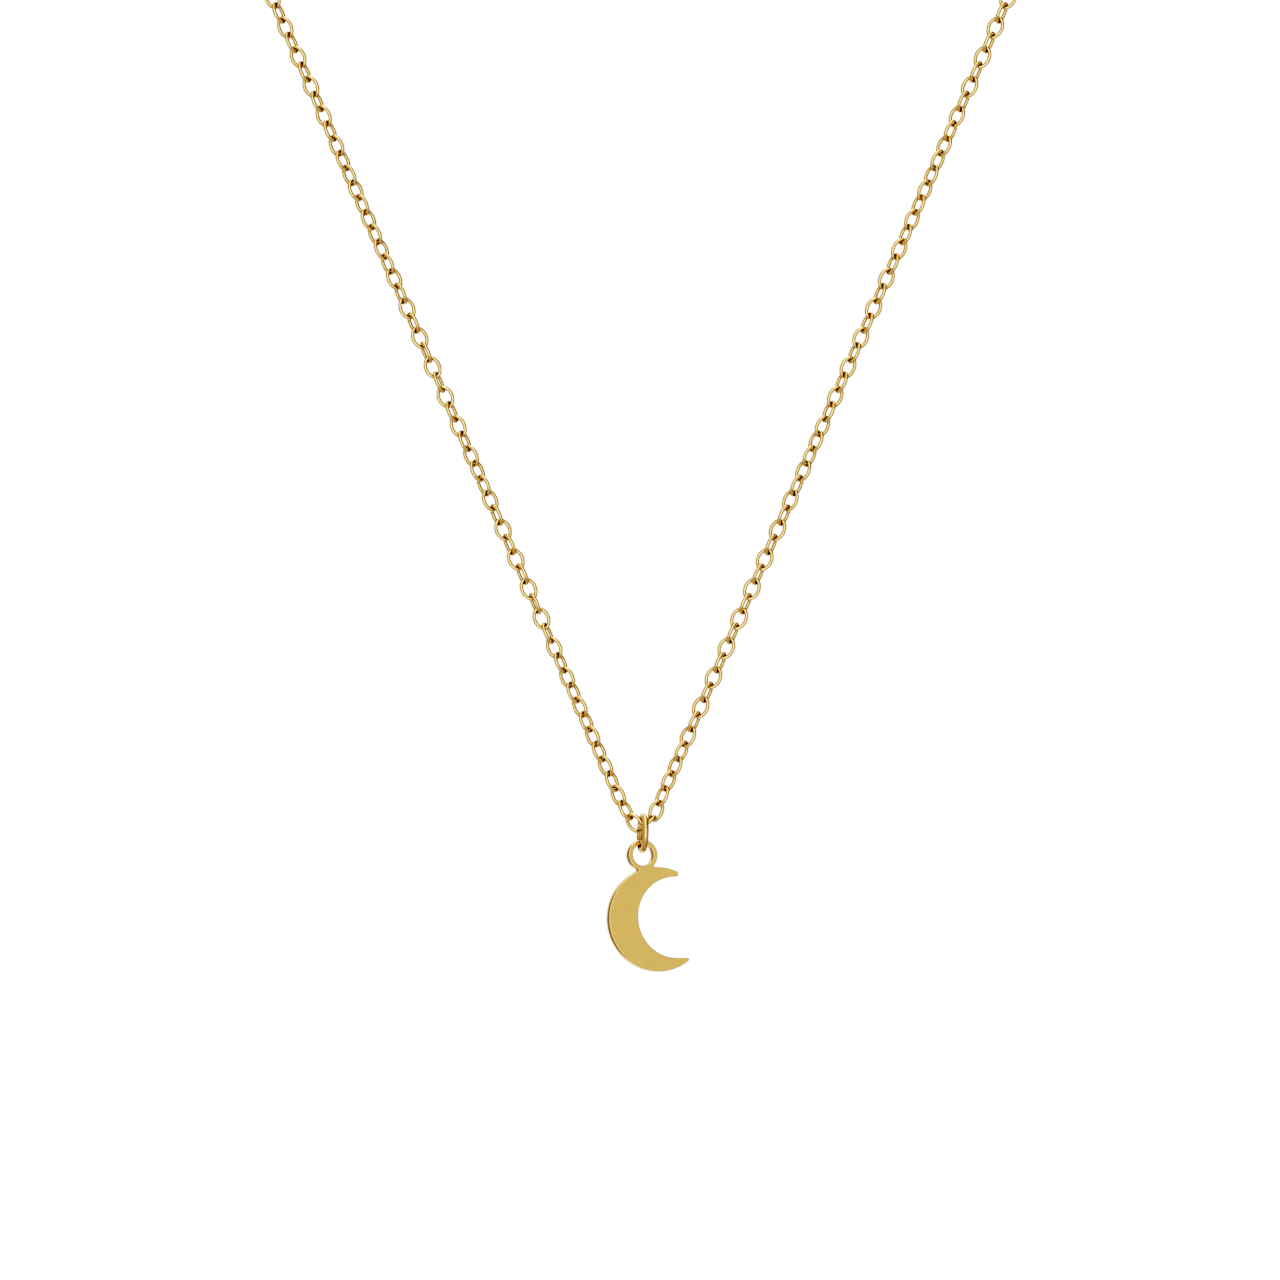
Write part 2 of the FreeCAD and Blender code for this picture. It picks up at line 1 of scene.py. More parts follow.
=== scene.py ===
import bpy
import json
import math
import numpy as np
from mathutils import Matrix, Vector

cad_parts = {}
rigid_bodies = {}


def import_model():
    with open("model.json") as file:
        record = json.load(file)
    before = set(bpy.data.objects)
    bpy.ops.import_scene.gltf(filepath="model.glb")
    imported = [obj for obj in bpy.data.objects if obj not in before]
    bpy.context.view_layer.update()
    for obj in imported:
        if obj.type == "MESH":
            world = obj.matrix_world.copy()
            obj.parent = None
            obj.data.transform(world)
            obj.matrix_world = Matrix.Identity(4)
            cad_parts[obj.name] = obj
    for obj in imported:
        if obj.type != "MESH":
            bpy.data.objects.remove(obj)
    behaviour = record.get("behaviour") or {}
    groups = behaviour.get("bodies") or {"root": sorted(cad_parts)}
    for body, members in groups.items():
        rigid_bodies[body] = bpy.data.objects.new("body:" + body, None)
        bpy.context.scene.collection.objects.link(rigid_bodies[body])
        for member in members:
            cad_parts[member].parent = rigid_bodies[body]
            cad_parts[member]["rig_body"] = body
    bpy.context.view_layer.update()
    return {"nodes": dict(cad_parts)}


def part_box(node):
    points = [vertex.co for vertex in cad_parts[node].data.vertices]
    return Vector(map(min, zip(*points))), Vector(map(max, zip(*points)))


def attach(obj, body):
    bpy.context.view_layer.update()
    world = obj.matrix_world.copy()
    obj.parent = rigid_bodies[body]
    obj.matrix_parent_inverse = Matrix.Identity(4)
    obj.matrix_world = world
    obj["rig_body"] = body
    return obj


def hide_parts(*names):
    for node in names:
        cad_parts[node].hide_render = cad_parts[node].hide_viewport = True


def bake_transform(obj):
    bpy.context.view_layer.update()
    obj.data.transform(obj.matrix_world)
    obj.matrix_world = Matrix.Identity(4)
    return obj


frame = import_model()
nodes = frame["nodes"]

MM = 0.001
rng = np.random.default_rng(7)


# ------------------------------------------------------------------ small maths
def unit(v):
    v = np.asarray(v, float)
    return v / np.linalg.norm(v)


def turn(axis, angle):
    """Rotation matrix about an axis through the origin (radians)."""
    x, y, z = unit(axis)
    c, s = math.cos(angle), math.sin(angle)
    k = np.array([[0, -z, y], [z, 0, -x], [-y, x, 0]])
    return np.eye(3) + s * k + (1 - c) * k @ k


def turn_between(a, b):
    a, b = unit(a), unit(b)
    axis = np.cross(a, b)
    n = np.linalg.norm(axis)
    if n < 1e-12:
        return np.eye(3)
    return turn(axis / n, math.atan2(n, float(a @ b)))


# ------------------------------------------------------- where the pieces sit
# The same layout as the part: strands, point of the V, back of the neck.
PITCH, SLOPE, LINKS, FOOT = 1.61, math.radians(23.44), 78, 1.875
Z_LOW = -LINKS * PITCH * math.cos(SLOPE)
Y = np.array([0, 1.0, 0])
DOWN = {"left": np.array([math.sin(SLOPE), 0, -math.cos(SLOPE)]),
        "right": np.array([-math.sin(SLOPE), 0, -math.cos(SLOPE)])}
ACROSS = {"left": np.array([math.cos(SLOPE), 0, math.sin(SLOPE)]),
          "right": np.array([math.cos(SLOPE), 0, -math.sin(SLOPE)])}
SIGN = {"left": -1.0, "right": 1.0}
ROLLS = {
    "left": [
        61, -28, 60, -28, 61, -24, 62, -24, 61, -30, 58, -36, 49, -46, 40, -49, 42, -47, 44, -52,
        33, -61, 22, -63, 17, -71, 1, 72, -10, 64, -22, 61, -36, 46, -52, 30, -62, 15, -64, 14,
        -65, 10, -72, -1, 71, -28, 58, -36, 50, -40, 49, -41.5, 48, -41, 50, -39],
    "right": [
        64, -15, 64, -14, 65, -12, 63, -22, 61, -32, 54, -40, 46, -48, 40, -52, 36, -56, 30, -61,
        24, -63, 20, -62, 22, -62, 24, -61, 28, -60, 38, -44, 50, -37, 56, -30, 61, -20, 64, -10,
        66, -8, 67, -6, 66, -8, 65, -12, 64, -17, 63, -30, 50, -44, 42, -51.5],
}
TOP_TWIST = {"left": (54, 0, -30), "right": (55, 90, 75)}
NAPE = np.array([0, 51.5, 33.0])
CLASP_X = 4.25


def level(side, m):
    return np.array([SIGN[side] * FOOT, 0, Z_LOW]) - DOWN[side] * (m * PITCH)


def roll_of(side, i):
    if i <= 56:
        return ROLLS[side][56 - i]
    first, far, near = TOP_TWIST[side]
    k = first - i
    value = far if k < -18 else near + (far - near) * k / -18.0
    return value + (0 if k % 2 else 90)


def link_at(centre, d, n, b, roll):
    r = math.radians(roll)
    w = n * math.cos(r) + b * math.sin(r)
    return np.column_stack([d, w, np.cross(d, w)]), np.asarray(centre, float)


def from_dw(centre, d, w):
    d = unit(d)
    w = np.asarray(w, float)
    w = unit(w - d * (w @ d))
    return np.column_stack([d, w, np.cross(d, w)]), np.asarray(centre, float)


low_z = np.array([0, 0, Z_LOW])
JUNCTION = {
    "l54": from_dw(np.array([-1.4538, -0.0187, -0.6917]) + low_z, (0.5190, 0.0044, -0.8548), (0.5187, 0.7932, 0.3191)),
    "l2": from_dw(np.array([-0.5323, 0.0469, -2.0124]) + low_z, (0.6327, 0.0355, -0.7735), (0.6907, -0.4775, 0.5430)),
    "c": from_dw(np.array([0.6261, -0.0391, -1.9235]) + low_z, (0.8002, 0.0382, 0.5985), (-0.1210, 0.9877, 0.0988)),
    "r1": from_dw(np.array([1.5946, 0.0240, -0.7588]) + low_z, (-0.3310, 0.0342, -0.9430), (0.8095, 0.5239, -0.2651)),
}

runs = {}
breaks = [78, 56, 42, 30, 20, 12, 5, 0]
for side in ("left", "right"):
    for g in range(7):
        runs["%s_front_chain_%d" % (side, g + 1)] = [
            link_at((level(side, i) + level(side, i - 1)) / 2, DOWN[side], ACROSS[side], Y, roll_of(side, i))
            for i in range(breaks[g], breaks[g + 1], -1)]
runs["left_front_chain_8"] = [JUNCTION["l54"], JUNCTION["l2"]]
runs["centre_link"] = [JUNCTION["c"]]
runs["right_front_chain_8"] = [JUNCTION["r1"]]

small_c = CLASP_X + 1.40
small_end = small_c + 1.25 - (0.25 + 0.175 + 0.03) + 1.01
ext_c = CLASP_X - 9.16
ext_end = ext_c - 1.70 + (0.30 + 0.175 + 0.03) - 1.01
END_X = {"right": small_end, "left": ext_end}
for side in ("left", "right"):
    s = SIGN[side]
    start = level(side, LINKS)
    goal = np.array([END_X[side] + s * PITCH / 2, NAPE[1], NAPE[2]])
    p = [start, start - DOWN[side] * 22.0, np.array([s * 44.0, NAPE[1], NAPE[2]]), goal]
    t = np.linspace(0, 1, 20001)[:, None]
    pts = (1 - t) ** 3 * p[0] + 3 * (1 - t) ** 2 * t * p[1] + 3 * (1 - t) * t ** 2 * p[2] + t ** 3 * p[3]
    tan = 3 * (1 - t) ** 2 * (p[1] - p[0]) + 6 * (1 - t) * t * (p[2] - p[1]) + 3 * t ** 2 * (p[3] - p[2])
    arc = np.concatenate([[0], np.cumsum(np.linalg.norm(np.diff(pts, axis=0), axis=1))])
    count = int(round(arc[-1] / PITCH))
    n_vec, b_vec = ACROSS[side].copy(), Y.copy()
    t_old = unit(tan[0])
    marks = []
    for q in range(1, 40 * count + 1):
        at = arc[-1] * q / (40 * count)
        point = np.array([np.interp(at, arc, pts[:, c]) for c in range(3)])
        t_new = unit([np.interp(at, arc, tan[:, c]) for c in range(3)])
        m = turn_between(t_old, t_new)
        n_vec, b_vec, t_old = m @ n_vec, m @ b_vec, t_new
        marks.append((point, t_new, n_vec.copy(), b_vec.copy()))
    phi = math.degrees(math.atan2(marks[-1][3][2], marks[-1][2][2])) + 90
    drift = phi - (90 if (count - 1) % 2 else 0)
    drift = (drift + 90) % 180 - 90
    placed = []
    for q in range(1, count + 1):
        point, tg, nv, bv = marks[40 * q - 20 - 1]
        placed.append(link_at(point, -tg, nv, bv, drift * (q - 1) / (count - 1) + (0 if q % 2 else 90)))
    placed.append(from_dw((END_X[side], NAPE[1], NAPE[2]), (s, 0, 0), (0, 0, 1)))
    cut = [0, (count + 1) // 3, 2 * (count + 1) // 3, count + 1]
    for g in range(3):
        runs["%s_back_chain_%d" % (side, g + 1)] = placed[cut[g]:cut[g + 1]]

ext_turn = math.radians(20)
radial = np.array([-math.sin(ext_turn), math.cos(ext_turn), 0])
tang = np.array([math.cos(ext_turn), math.sin(ext_turn), 0])
on_ring = np.array([ext_c, NAPE[1], NAPE[2]]) + radial * 1.70
ext = []
for q in range(15):
    c = on_ring + np.array([0, 0, 0.30 + 0.25 + 0.03 - 1.55 - q * 2.55])
    ext.append(from_dw(c, (0, 0, -1), radial if q % 2 == 0 else tang))
ext_runs = {"extension_chain_1": ext[0:3], "extension_chain_2": ext[3:7],
            "extension_chain_3": ext[7:11], "extension_chain_4": ext[11:15]}
foot = ext[-1][1] + np.array([0, 0, -1.55])
drop_ring_c = foot + np.array([0, 0, 0.25 + 0.20 + 0.03 - 1.20])
eye_c = drop_ring_c + np.array([0, 0, -1.20 - (0.68 - 0.20 - 0.20 - 0.03)])

ring_c = np.array([0.2450, -0.0120, -3.0050]) + low_z
ring_up = unit((0.0340, 0.0145, 0.9993))
ring_back = np.array([-0.1771, 0.9840, -0.0201])
ring_back = unit(ring_back - ring_up * (ring_back @ ring_up))
ring_axis = np.cross(ring_back, ring_up)


# ------------------------------------------------------------------ mesh helpers
def make_object(name, verts, faces, normals=None, uv=None, attrs=None):
    """A mesh object from millimetre points, faces of any size and one normal per point."""
    mesh = bpy.data.meshes.new(name)
    mesh.from_pydata((np.asarray(verts) * MM).tolist(), [], faces)
    mesh.polygons.foreach_set("use_smooth", [True] * len(mesh.polygons))
    for key, values in (attrs or {}).items():
        layer = mesh.attributes.new(key, "FLOAT", "POINT")
        layer.data.foreach_set("value", np.asarray(values, np.float32))
    if normals is not None:
        mesh.normals_split_custom_set_from_vertices(np.asarray(normals).tolist())
    mesh.validate(clean_customdata=False)
    obj = bpy.data.objects.new(name, mesh)
    bpy.context.scene.collection.objects.link(obj)
    return obj


def oval_path(half_length, half_width, end_arc, per_end, per_side):
    """Points, outward normals and run length along an oval of four arcs, evenly stepped per arc."""
    a = half_length - end_arc
    side = (a * a + half_width ** 2 - end_arc ** 2) / (2 * (half_width - end_arc))
    off = side - half_width
    al = math.atan2(off, a)
    pts, out, run, at = [], [], [], 0.0
    for cx, cy, rad, first, sweep, n in ((a, 0, end_arc, -al, 2 * al, per_end),
                                         (0, -off, side, al, math.pi - 2 * al, per_side),
                                         (-a, 0, end_arc, math.pi - al, 2 * al, per_end),
                                         (0, off, side, math.pi + al, math.pi - 2 * al, per_side)):
        for k in range(n):
            t = first + sweep * k / n
            pts.append((cx + rad * math.cos(t), cy + rad * math.sin(t)))
            out.append((math.cos(t), math.sin(t)))
            run.append(at + rad * sweep * k / n)
        at += rad * sweep
    return np.array(pts), np.array(out), np.array(run), at


def wire_loop(path, out, radius, around):
    """Closed tube of wire along a flat path; radius may differ per station. Local z is across the loop."""
    n = len(path)
    radius = np.broadcast_to(np.asarray(radius, float), (n,))
    th = np.linspace(0, 2 * math.pi, around, endpoint=False)
    ring_n = np.stack([np.cos(th), np.sin(th)], 1)
    verts = np.zeros((n, around, 3))
    norms = np.zeros((n, around, 3))
    for i in range(n):
        o3 = np.array([out[i, 0], out[i, 1], 0])
        nn = ring_n[:, :1] * o3 + ring_n[:, 1:] * np.array([0, 0, 1.0])
        verts[i] = np.array([path[i, 0], path[i, 1], 0]) + nn * radius[i]
        norms[i] = nn
    faces = []
    for i in range(n):
        j = (i + 1) % n
        for k in range(around):
            m = (k + 1) % around
            faces.append((i * around + k, j * around + k, j * around + m, i * around + m))
    return verts.reshape(-1, 3), norms.reshape(-1, 3), faces


def seam_profile(run, total, at, wire, bulge, width, groove, groove_width):
    """Wire radius along a loop with a soldered joint: a faint swelling with a fine groove in it."""
    d = np.abs((run - at + total / 2) % total - total / 2)
    return wire * (1 + bulge * np.exp(-(d / width) ** 2) - groove * np.exp(-(d / groove_width) ** 2))


def link_mesh(half_length, half_width, end_arc, wire, per_end, per_side, around):
    path, out, run, total = oval_path(half_length, half_width, end_arc, per_end, per_side)
    # wire radius per station: the joint's swelling and groove are set to nothing, so the wire is even all round
    radius = seam_profile(run, total, total * 0.0, wire, 0.0, 1.0, 0.0, 1.0)
    verts, norms, faces = wire_loop(path, out, radius, around)
    outward = (norms[:, :2] * np.repeat(out, around, 0)).sum(1)
    # 1 on the side of the wire that faces into the loop: the mask for the painted shade there
    inner = np.clip((-0.1 - outward) / 0.75, 0, 1)
    return verts, norms, faces, inner * inner * (3 - 2 * inner)


def contact_shade_at(points, others):
    """Painted shade between pieces: 1 where a surface point almost touches another piece, 0 where it is well clear of
    it.
    """
    gap = np.full(len(points), 9.0)
    for path, wire in others:
        near = np.linalg.norm(points - path.mean(0), axis=1) < np.linalg.norm(path - path.mean(0), axis=1).max() + 0.6
        if near.any():
            d = np.sqrt(((points[near][:, None] - path[None]) ** 2).sum(-1)).min(1) - wire
            gap[near] = np.minimum(gap[near], d)
    t = np.clip((CONTACT_SHADE_REACH - gap) / (CONTACT_SHADE_REACH - 0.04), 0, 1)
    return t * t * (3 - 2 * t)


def chain_object(name, places, master, around_it):
    """One mesh of many links; around_it gives each link's touching neighbours."""
    verts, norms, faces, inner = master
    all_v, all_n, all_f, all_tone, all_contact_shade = [], [], [], [], []
    for q, (rot, centre) in enumerate(places):
        flip = rng.random() < 0.5
        local = np.diag([-1.0, -1.0, 1.0]) if flip else np.eye(3)
        m = rot @ local
        base = len(all_v) * len(verts)
        all_v.append(verts @ m.T + centre)
        all_n.append(norms @ m.T)
        all_f.extend([tuple(base + c for c in f) for f in faces])
        all_tone.append(np.full(len(verts), rng.random()))
        # painted shade on each link where it touches its neighbours
        all_contact_shade.append(contact_shade_at(all_v[-1], around_it[q]))
    return make_object(name, np.concatenate(all_v), all_f, np.concatenate(all_n),
                       attrs={"tone": np.concatenate(all_tone), "contact_shade": np.concatenate(all_contact_shade),
                              "inner": np.tile(inner, len(places))})


def ring_object(name, mean, wire, rot, centre, seam_deg, around_it, shaded_arc=None, stations=144, around=36):
    """Jump ring: round wire bent to a circle, its two cut ends butted together at the seam."""
    step = list(np.linspace(0, 360, stations, endpoint=False))
    fine = [seam_deg + s for s in (-2.2, -1.5, -1.0, -0.6, -0.3, 0.0, 0.3, 0.6, 1.0, 1.5, 2.2)]
    step = sorted([s % 360 for s in step if abs((s - seam_deg + 180) % 360 - 180) > 2.6] + [s % 360 for s in fine])
    t = np.radians(step)
    out = np.stack([np.cos(t), np.sin(t)], 1)
    path = out * mean
    d = np.abs((np.degrees(t) - seam_deg + 180) % 360 - 180) * math.pi / 180 * mean
    radius = wire * (1 - 0.055 * np.exp(-(d / 0.018) ** 2))
    verts, norms, faces = wire_loop(path, out, radius, around)
    seam = np.repeat(np.exp(-(d / 0.02) ** 2), around)
    placed_at = verts @ rot.T + centre
    # painted shade on the ring where other pieces come close to it
    contact_shade = contact_shade_at(placed_at, around_it)
    if shaded_arc is not None:                 # stretch at the ring's bottom and back, inside the plate's hole, darkened as painted shade
        d = np.abs((np.degrees(t) - shaded_arc[0] + 180) % 360 - 180)
        arc_shade = np.clip((shaded_arc[1] - d) / 14, 0, 1)
        contact_shade = np.maximum(contact_shade, np.repeat(arc_shade * arc_shade * (3 - 2 * arc_shade), around) * shaded_arc[2])
    return make_object(name, placed_at, faces, norms @ rot.T, attrs={"seam": seam, "contact_shade": contact_shade})


# ------------------------------------------------------- which pieces touch which, for the painted shade between them
CONTACT_SHADE_REACH = 0.25


def oval_line(place, sizes):
    rot, centre = place
    pts = oval_path(*sizes, 14, 12)[0]
    return np.column_stack([pts, np.zeros(len(pts))]) @ rot.T + centre


def circle_line(rot, centre, mean):
    t = np.radians(np.arange(0, 360, 4))
    return np.stack([mean * np.cos(t), mean * np.sin(t), 0 * t], 1) @ rot.T + centre


FINE, COARSE = (1.01, 0.685, 0.50), (1.55, 1.15, 0.85)
ring_rot = np.column_stack([ring_back, ring_up, ring_axis])
small_pos = np.array([small_c, NAPE[1], NAPE[2]])
ext_pos = np.array([ext_c, NAPE[1], NAPE[2]])
drop_rot = np.column_stack([tang, np.array([0, 0, 1.0]), np.cross(tang, [0, 0, 1.0])])
line_ring = (circle_line(ring_rot, ring_c, 1.70), 0.30)
line_small = (circle_line(np.eye(3), small_pos, 1.25), 0.25)
line_ext_ring = (circle_line(np.eye(3), ext_pos, 1.70), 0.30)
line_drop_ring = (circle_line(drop_rot, drop_ring_c, 1.20), 0.20)

order = []
for side in ("left", "right"):
    back = [("%s_back_chain_%d" % (side, g), k) for g in (1, 2, 3) for k in range(len(runs["%s_back_chain_%d" % (side, g)]))]
    front = [("%s_front_chain_%d" % (side, g), k) for g in range(1, 8) for k in range(len(runs["%s_front_chain_%d" % (side, g)]))]
    if side == "left":
        order += back[::-1] + front + [("left_front_chain_8", 0), ("left_front_chain_8", 1), ("centre_link", 0), ("right_front_chain_8", 0)]
    else:
        order += front[::-1] + back
lines = {key: (oval_line(runs[key[0]][key[1]], FINE), 0.175) for key in order}
beside = {key: [] for key in order}
for one, two in zip(order[:-1], order[1:]):
    beside[one].append(lines[two])
    beside[two].append(lines[one])
for key in (("left_front_chain_8", 1), ("centre_link", 0), ("right_front_chain_8", 0)):
    beside[key].append(line_ring)
beside[order[0]].append(line_ext_ring)
beside[order[-1]].append(line_small)
ext_order = [(node, k) for node, places in ext_runs.items() for k in range(len(places))]
ext_lines = [(oval_line(ext_runs[n][k], COARSE), 0.25) for n, k in ext_order]
ext_beside = {}
for q, key in enumerate(ext_order):
    ext_beside[key] = ([line_ext_ring] if q == 0 else [ext_lines[q - 1]]) + \
        ([line_drop_ring] if q == len(ext_order) - 1 else [ext_lines[q + 1]])

# ------------------------------------------------------------------- fine chain
fine_link = link_mesh(*FINE, 0.184, 18, 14, 18)
coarse_link = link_mesh(*COARSE, 0.25, 18, 14, 20)
pieces = {}
for node, places in runs.items():
    pieces[node] = chain_object(node + "_links", places, fine_link, [beside[(node, k)] for k in range(len(places))])
for node, places in ext_runs.items():
    pieces[node] = chain_object(node + "_links", places, coarse_link, [ext_beside[(node, k)] for k in range(len(places))])

# ------------------------------------------------------------------------- rings
# the plate's hole, as five circles just inside the metal, for the painted shade where the ring comes close to it; the
# circles behind the middle reach further, spreading that painted shade over the ring's back
YAW, TIP, LEAN = math.radians(20), math.radians(-5), math.radians(-2)
LU, LV, LO, LH, PLAY = -1.625, 6.39, 1.565, 1.04, 0.24
eu = np.array([math.cos(YAW), math.sin(YAW), 0])
ef = np.array([math.sin(YAW) * math.cos(TIP), -math.cos(YAW) * math.cos(TIP), -math.sin(TIP)])
ev = np.cross(ef, eu)
eu, ev = eu * math.cos(LEAN) + ev * math.sin(LEAN), ev * math.cos(LEAN) - eu * math.sin(LEAN)
hang = ring_c - ring_up * 1.70
hole_mid = hang + np.array([-0.03, 0, 0]) - ev * (LH - 0.30 - PLAY)
plate_rot = np.column_stack([eu, ev, ef])
hole_edge = [(circle_line(plate_rot, hole_mid + ef * h, LH + 0.12), 0.12 + max(0.0, -h) * 0.5) for h in (-0.45, -0.3, -0.1, 0.1, 0.3)]
junction_lines = [lines[key] for key in (("left_front_chain_8", 1), ("centre_link", 0), ("right_front_chain_8", 0))]

pieces["pendant_jump_ring"] = ring_object("pendant_ring", 1.70, 0.30, ring_rot, ring_c, 38.0, junction_lines + hole_edge,
                                           shaded_arc=(306.0, 34.0, 0.95))
pieces["clasp_jump_ring"] = ring_object("clasp_ring", 1.25, 0.25, np.eye(3), small_pos, 62.0, [lines[order[-1]]])
pieces["extension_ring"] = ring_object("tail_ring", 1.70, 0.30, np.eye(3), ext_pos, 300.0, [lines[order[0]], ext_lines[0]])
pieces["drop_ring"] = ring_object("drop_jump_ring", 1.20, 0.20, drop_rot, drop_ring_c, 25.0, [ext_lines[-1]])

# ------------------------------------------------------------------ crescent plate
T = 0.95                       # thickness
BULGE, CORNER = 0.045, 0.080   # the cut edge is tumbled to a faint belly, its corners rounded
DOME, DOME_AT = 0.0006, (-1.4, 1.0)   # the faces are polished very slightly round


def arc_points(cx, cy, r, a0, a1, n):
    """n points from angle a0 to just short of a1, with the normal that points out of the metal."""
    t = np.linspace(a0, a1, n, endpoint=False)
    return np.stack([cx + r * np.cos(t), cy + r * np.sin(t)], 1), np.stack([np.cos(t), np.sin(t)], 1)


def fillet_between(shape_a, shape_b, r, near):
    """Centre of a circle of radius r that touches two outlines, given as signed distances to them."""
    p = np.array(near, float)
    for _ in range(60):
        fa, fb = shape_a(p) - r, shape_b(p) - r
        h = 1e-6
        jac = np.array([[(shape_a(p + [h, 0]) - shape_a(p - [h, 0])) / (2 * h), (shape_a(p + [0, h]) - shape_a(p - [0, h])) / (2 * h)],
                        [(shape_b(p + [h, 0]) - shape_b(p - [h, 0])) / (2 * h), (shape_b(p + [0, h]) - shape_b(p - [0, h])) / (2 * h)]])
        p = p - np.linalg.solve(jac, [fa, fb])
    return p


OUTER, INNER, INU, INV = 5.255, 4.05, 1.95, 0.25
FLOOR_SLOPE, TRIM = math.radians(-0.9), 2.15
floor_p = np.array([INU - INNER * math.sin(FLOOR_SLOPE), INV - INNER * math.cos(FLOOR_SLOPE)])
floor_d = np.array([math.cos(FLOOR_SLOPE), -math.sin(FLOOR_SLOPE)])
floor_n = np.array([math.sin(FLOOR_SLOPE), math.cos(FLOOR_SLOPE)])       # out of the metal, upwards


def in_disc(p):          # distance inside the outer circle
    return OUTER - math.hypot(p[0], p[1])


def out_disc(p):
    return math.hypot(p[0], p[1]) - OUTER


def out_loop(p):
    return math.hypot(p[0] - LU, p[1] - LV) - LO


def out_bite(p):         # distance outside the inner circle
    return math.hypot(p[0] - INU, p[1] - INV) - INNER


def under_floor(p):
    return -float((p - floor_p) @ floor_n)


def left_of_trim(p):
    return TRIM - p[0]


def turn_to(a, b, ccw):
    """b moved by whole turns to follow a in the given sense."""
    while ccw and b < a:
        b += 2 * math.pi
    while not ccw and b > a:
        b -= 2 * math.pi
    return b


R_NOTCH, R_TOP, R_UNDER, R_LOW = 0.10, 0.28, 0.20, 0.18


def moon_outline():
    """Outline of the plate, counter-clockwise, as points with outward normals."""
    na = fillet_between(out_disc, out_loop, R_NOTCH, (-3.0, 5.0))        # notch left of the loop
    nb = fillet_between(out_disc, out_loop, R_NOTCH, (0.1, 5.5))         # notch right of it
    to = fillet_between(in_disc, left_of_trim, R_TOP, (1.9, 4.5))        # blunt tip, upper corner
    ti = fillet_between(out_bite, left_of_trim, R_UNDER, (2.0, 4.5))     # blunt tip, lower corner
    tl = fillet_between(in_disc, under_floor, R_LOW, (3.3, -3.95))       # point of the lower horn
    P, N = [], []

    def add(cx, cy, r, a0, a1, step, ccw, sign=1):
        a1 = turn_to(a0, a1, ccw)
        n = max(3, int(math.ceil(abs(a1 - a0) * r / step)))
        p, nn = arc_points(cx, cy, r, a0, a1, n)
        P.append(p)
        N.append(nn * sign)

    def ang(p, c=(0, 0)):
        return math.atan2(p[1] - c[1], p[0] - c[0])

    loop = (LU, LV)
    # round the outer edge, from the upper horn's tip over the left to the lower horn
    add(to[0], to[1], R_TOP, 0.0, ang(to), 0.03, True)
    add(0, 0, OUTER, ang(to), ang(nb), 0.10, True)
    add(nb[0], nb[1], R_NOTCH, ang(nb) + math.pi, ang(loop, nb), 0.02, False, -1)
    add(LU, LV, LO, ang(nb, loop), ang(na, loop), 0.06, True)
    add(na[0], na[1], R_NOTCH, ang(loop, na), ang(na) + math.pi, 0.02, False, -1)
    add(0, 0, OUTER, ang(na), ang(tl), 0.10, True)
    add(tl[0], tl[1], R_LOW, ang(tl), math.pi / 2 - FLOOR_SLOPE, 0.02, True)
    # back along the floor and the inner edge to the upper horn
    start = tl + floor_n * R_LOW
    length = float((start - floor_p) @ floor_d)
    n = max(2, int(length / 0.1))
    t = np.linspace(0, 1, n, endpoint=False)[:, None]
    P.append(start + t * (floor_p - start))
    N.append(np.repeat(floor_n[None], n, 0))
    add(INU, INV, INNER, -math.pi / 2 - FLOOR_SLOPE, ang(ti, (INU, INV)), 0.08, False, -1)
    add(ti[0], ti[1], R_UNDER, ang((INU, INV), ti), 0.0, 0.025, True)
    p0, p1 = np.array([TRIM, ti[1]]), np.array([TRIM, to[1]])
    n = max(2, int(np.linalg.norm(p1 - p0) / 0.05))
    t = np.linspace(0, 1, n, endpoint=False)[:, None]
    P.append(p0 + t * (p1 - p0))
    N.append(np.repeat(np.array([[1.0, 0]]), n, 0))
    return np.concatenate(P), np.concatenate(N)


def edge_profile(bulge, corner, belly_steps, corner_steps):
    """(inset, height, outward part, upward part) from the front face's edge down to the back one's."""
    half = T / 2
    lean = 2 * math.atan(bulge / (half - corner * 0.6))
    rows = []
    for k in range(corner_steps + 1):              # rounded corner, from flat to the belly's lean
        a = math.pi / 2 - (math.pi / 2 - lean) * k / corner_steps
        rows.append((a, "corner"))
    centre_h = half - corner
    end_h = centre_h + corner * math.sin(lean)
    radius = end_h / math.sin(lean)
    belly_in = radius * (1 - math.cos(lean))
    front = []
    for a, _ in rows:
        front.append((belly_in + corner * (math.cos(lean) - math.cos(a)), centre_h + corner * math.sin(a),
                      math.cos(a), math.sin(a)))
    for k in range(1, belly_steps + 1):
        a = lean * (1 - k / belly_steps)
        front.append((radius * (1 - math.cos(a)), radius * math.sin(a), math.cos(a), math.sin(a)))
    back = [(i, -h, o, -u) for i, h, o, u in reversed(front[:-1])]
    return np.array(front + back)


def inside_polygon(p, poly):
    """Even-odd test."""
    x, y = poly[:, 0], poly[:, 1]
    x2, y2 = np.roll(x, -1), np.roll(y, -1)
    cross = (y > p[1]) != (y2 > p[1])
    at = x + (p[1] - y) / np.where(cross, y2 - y, 1.0) * (x2 - x)
    return bool(np.count_nonzero(cross & (p[0] < at)) % 2)


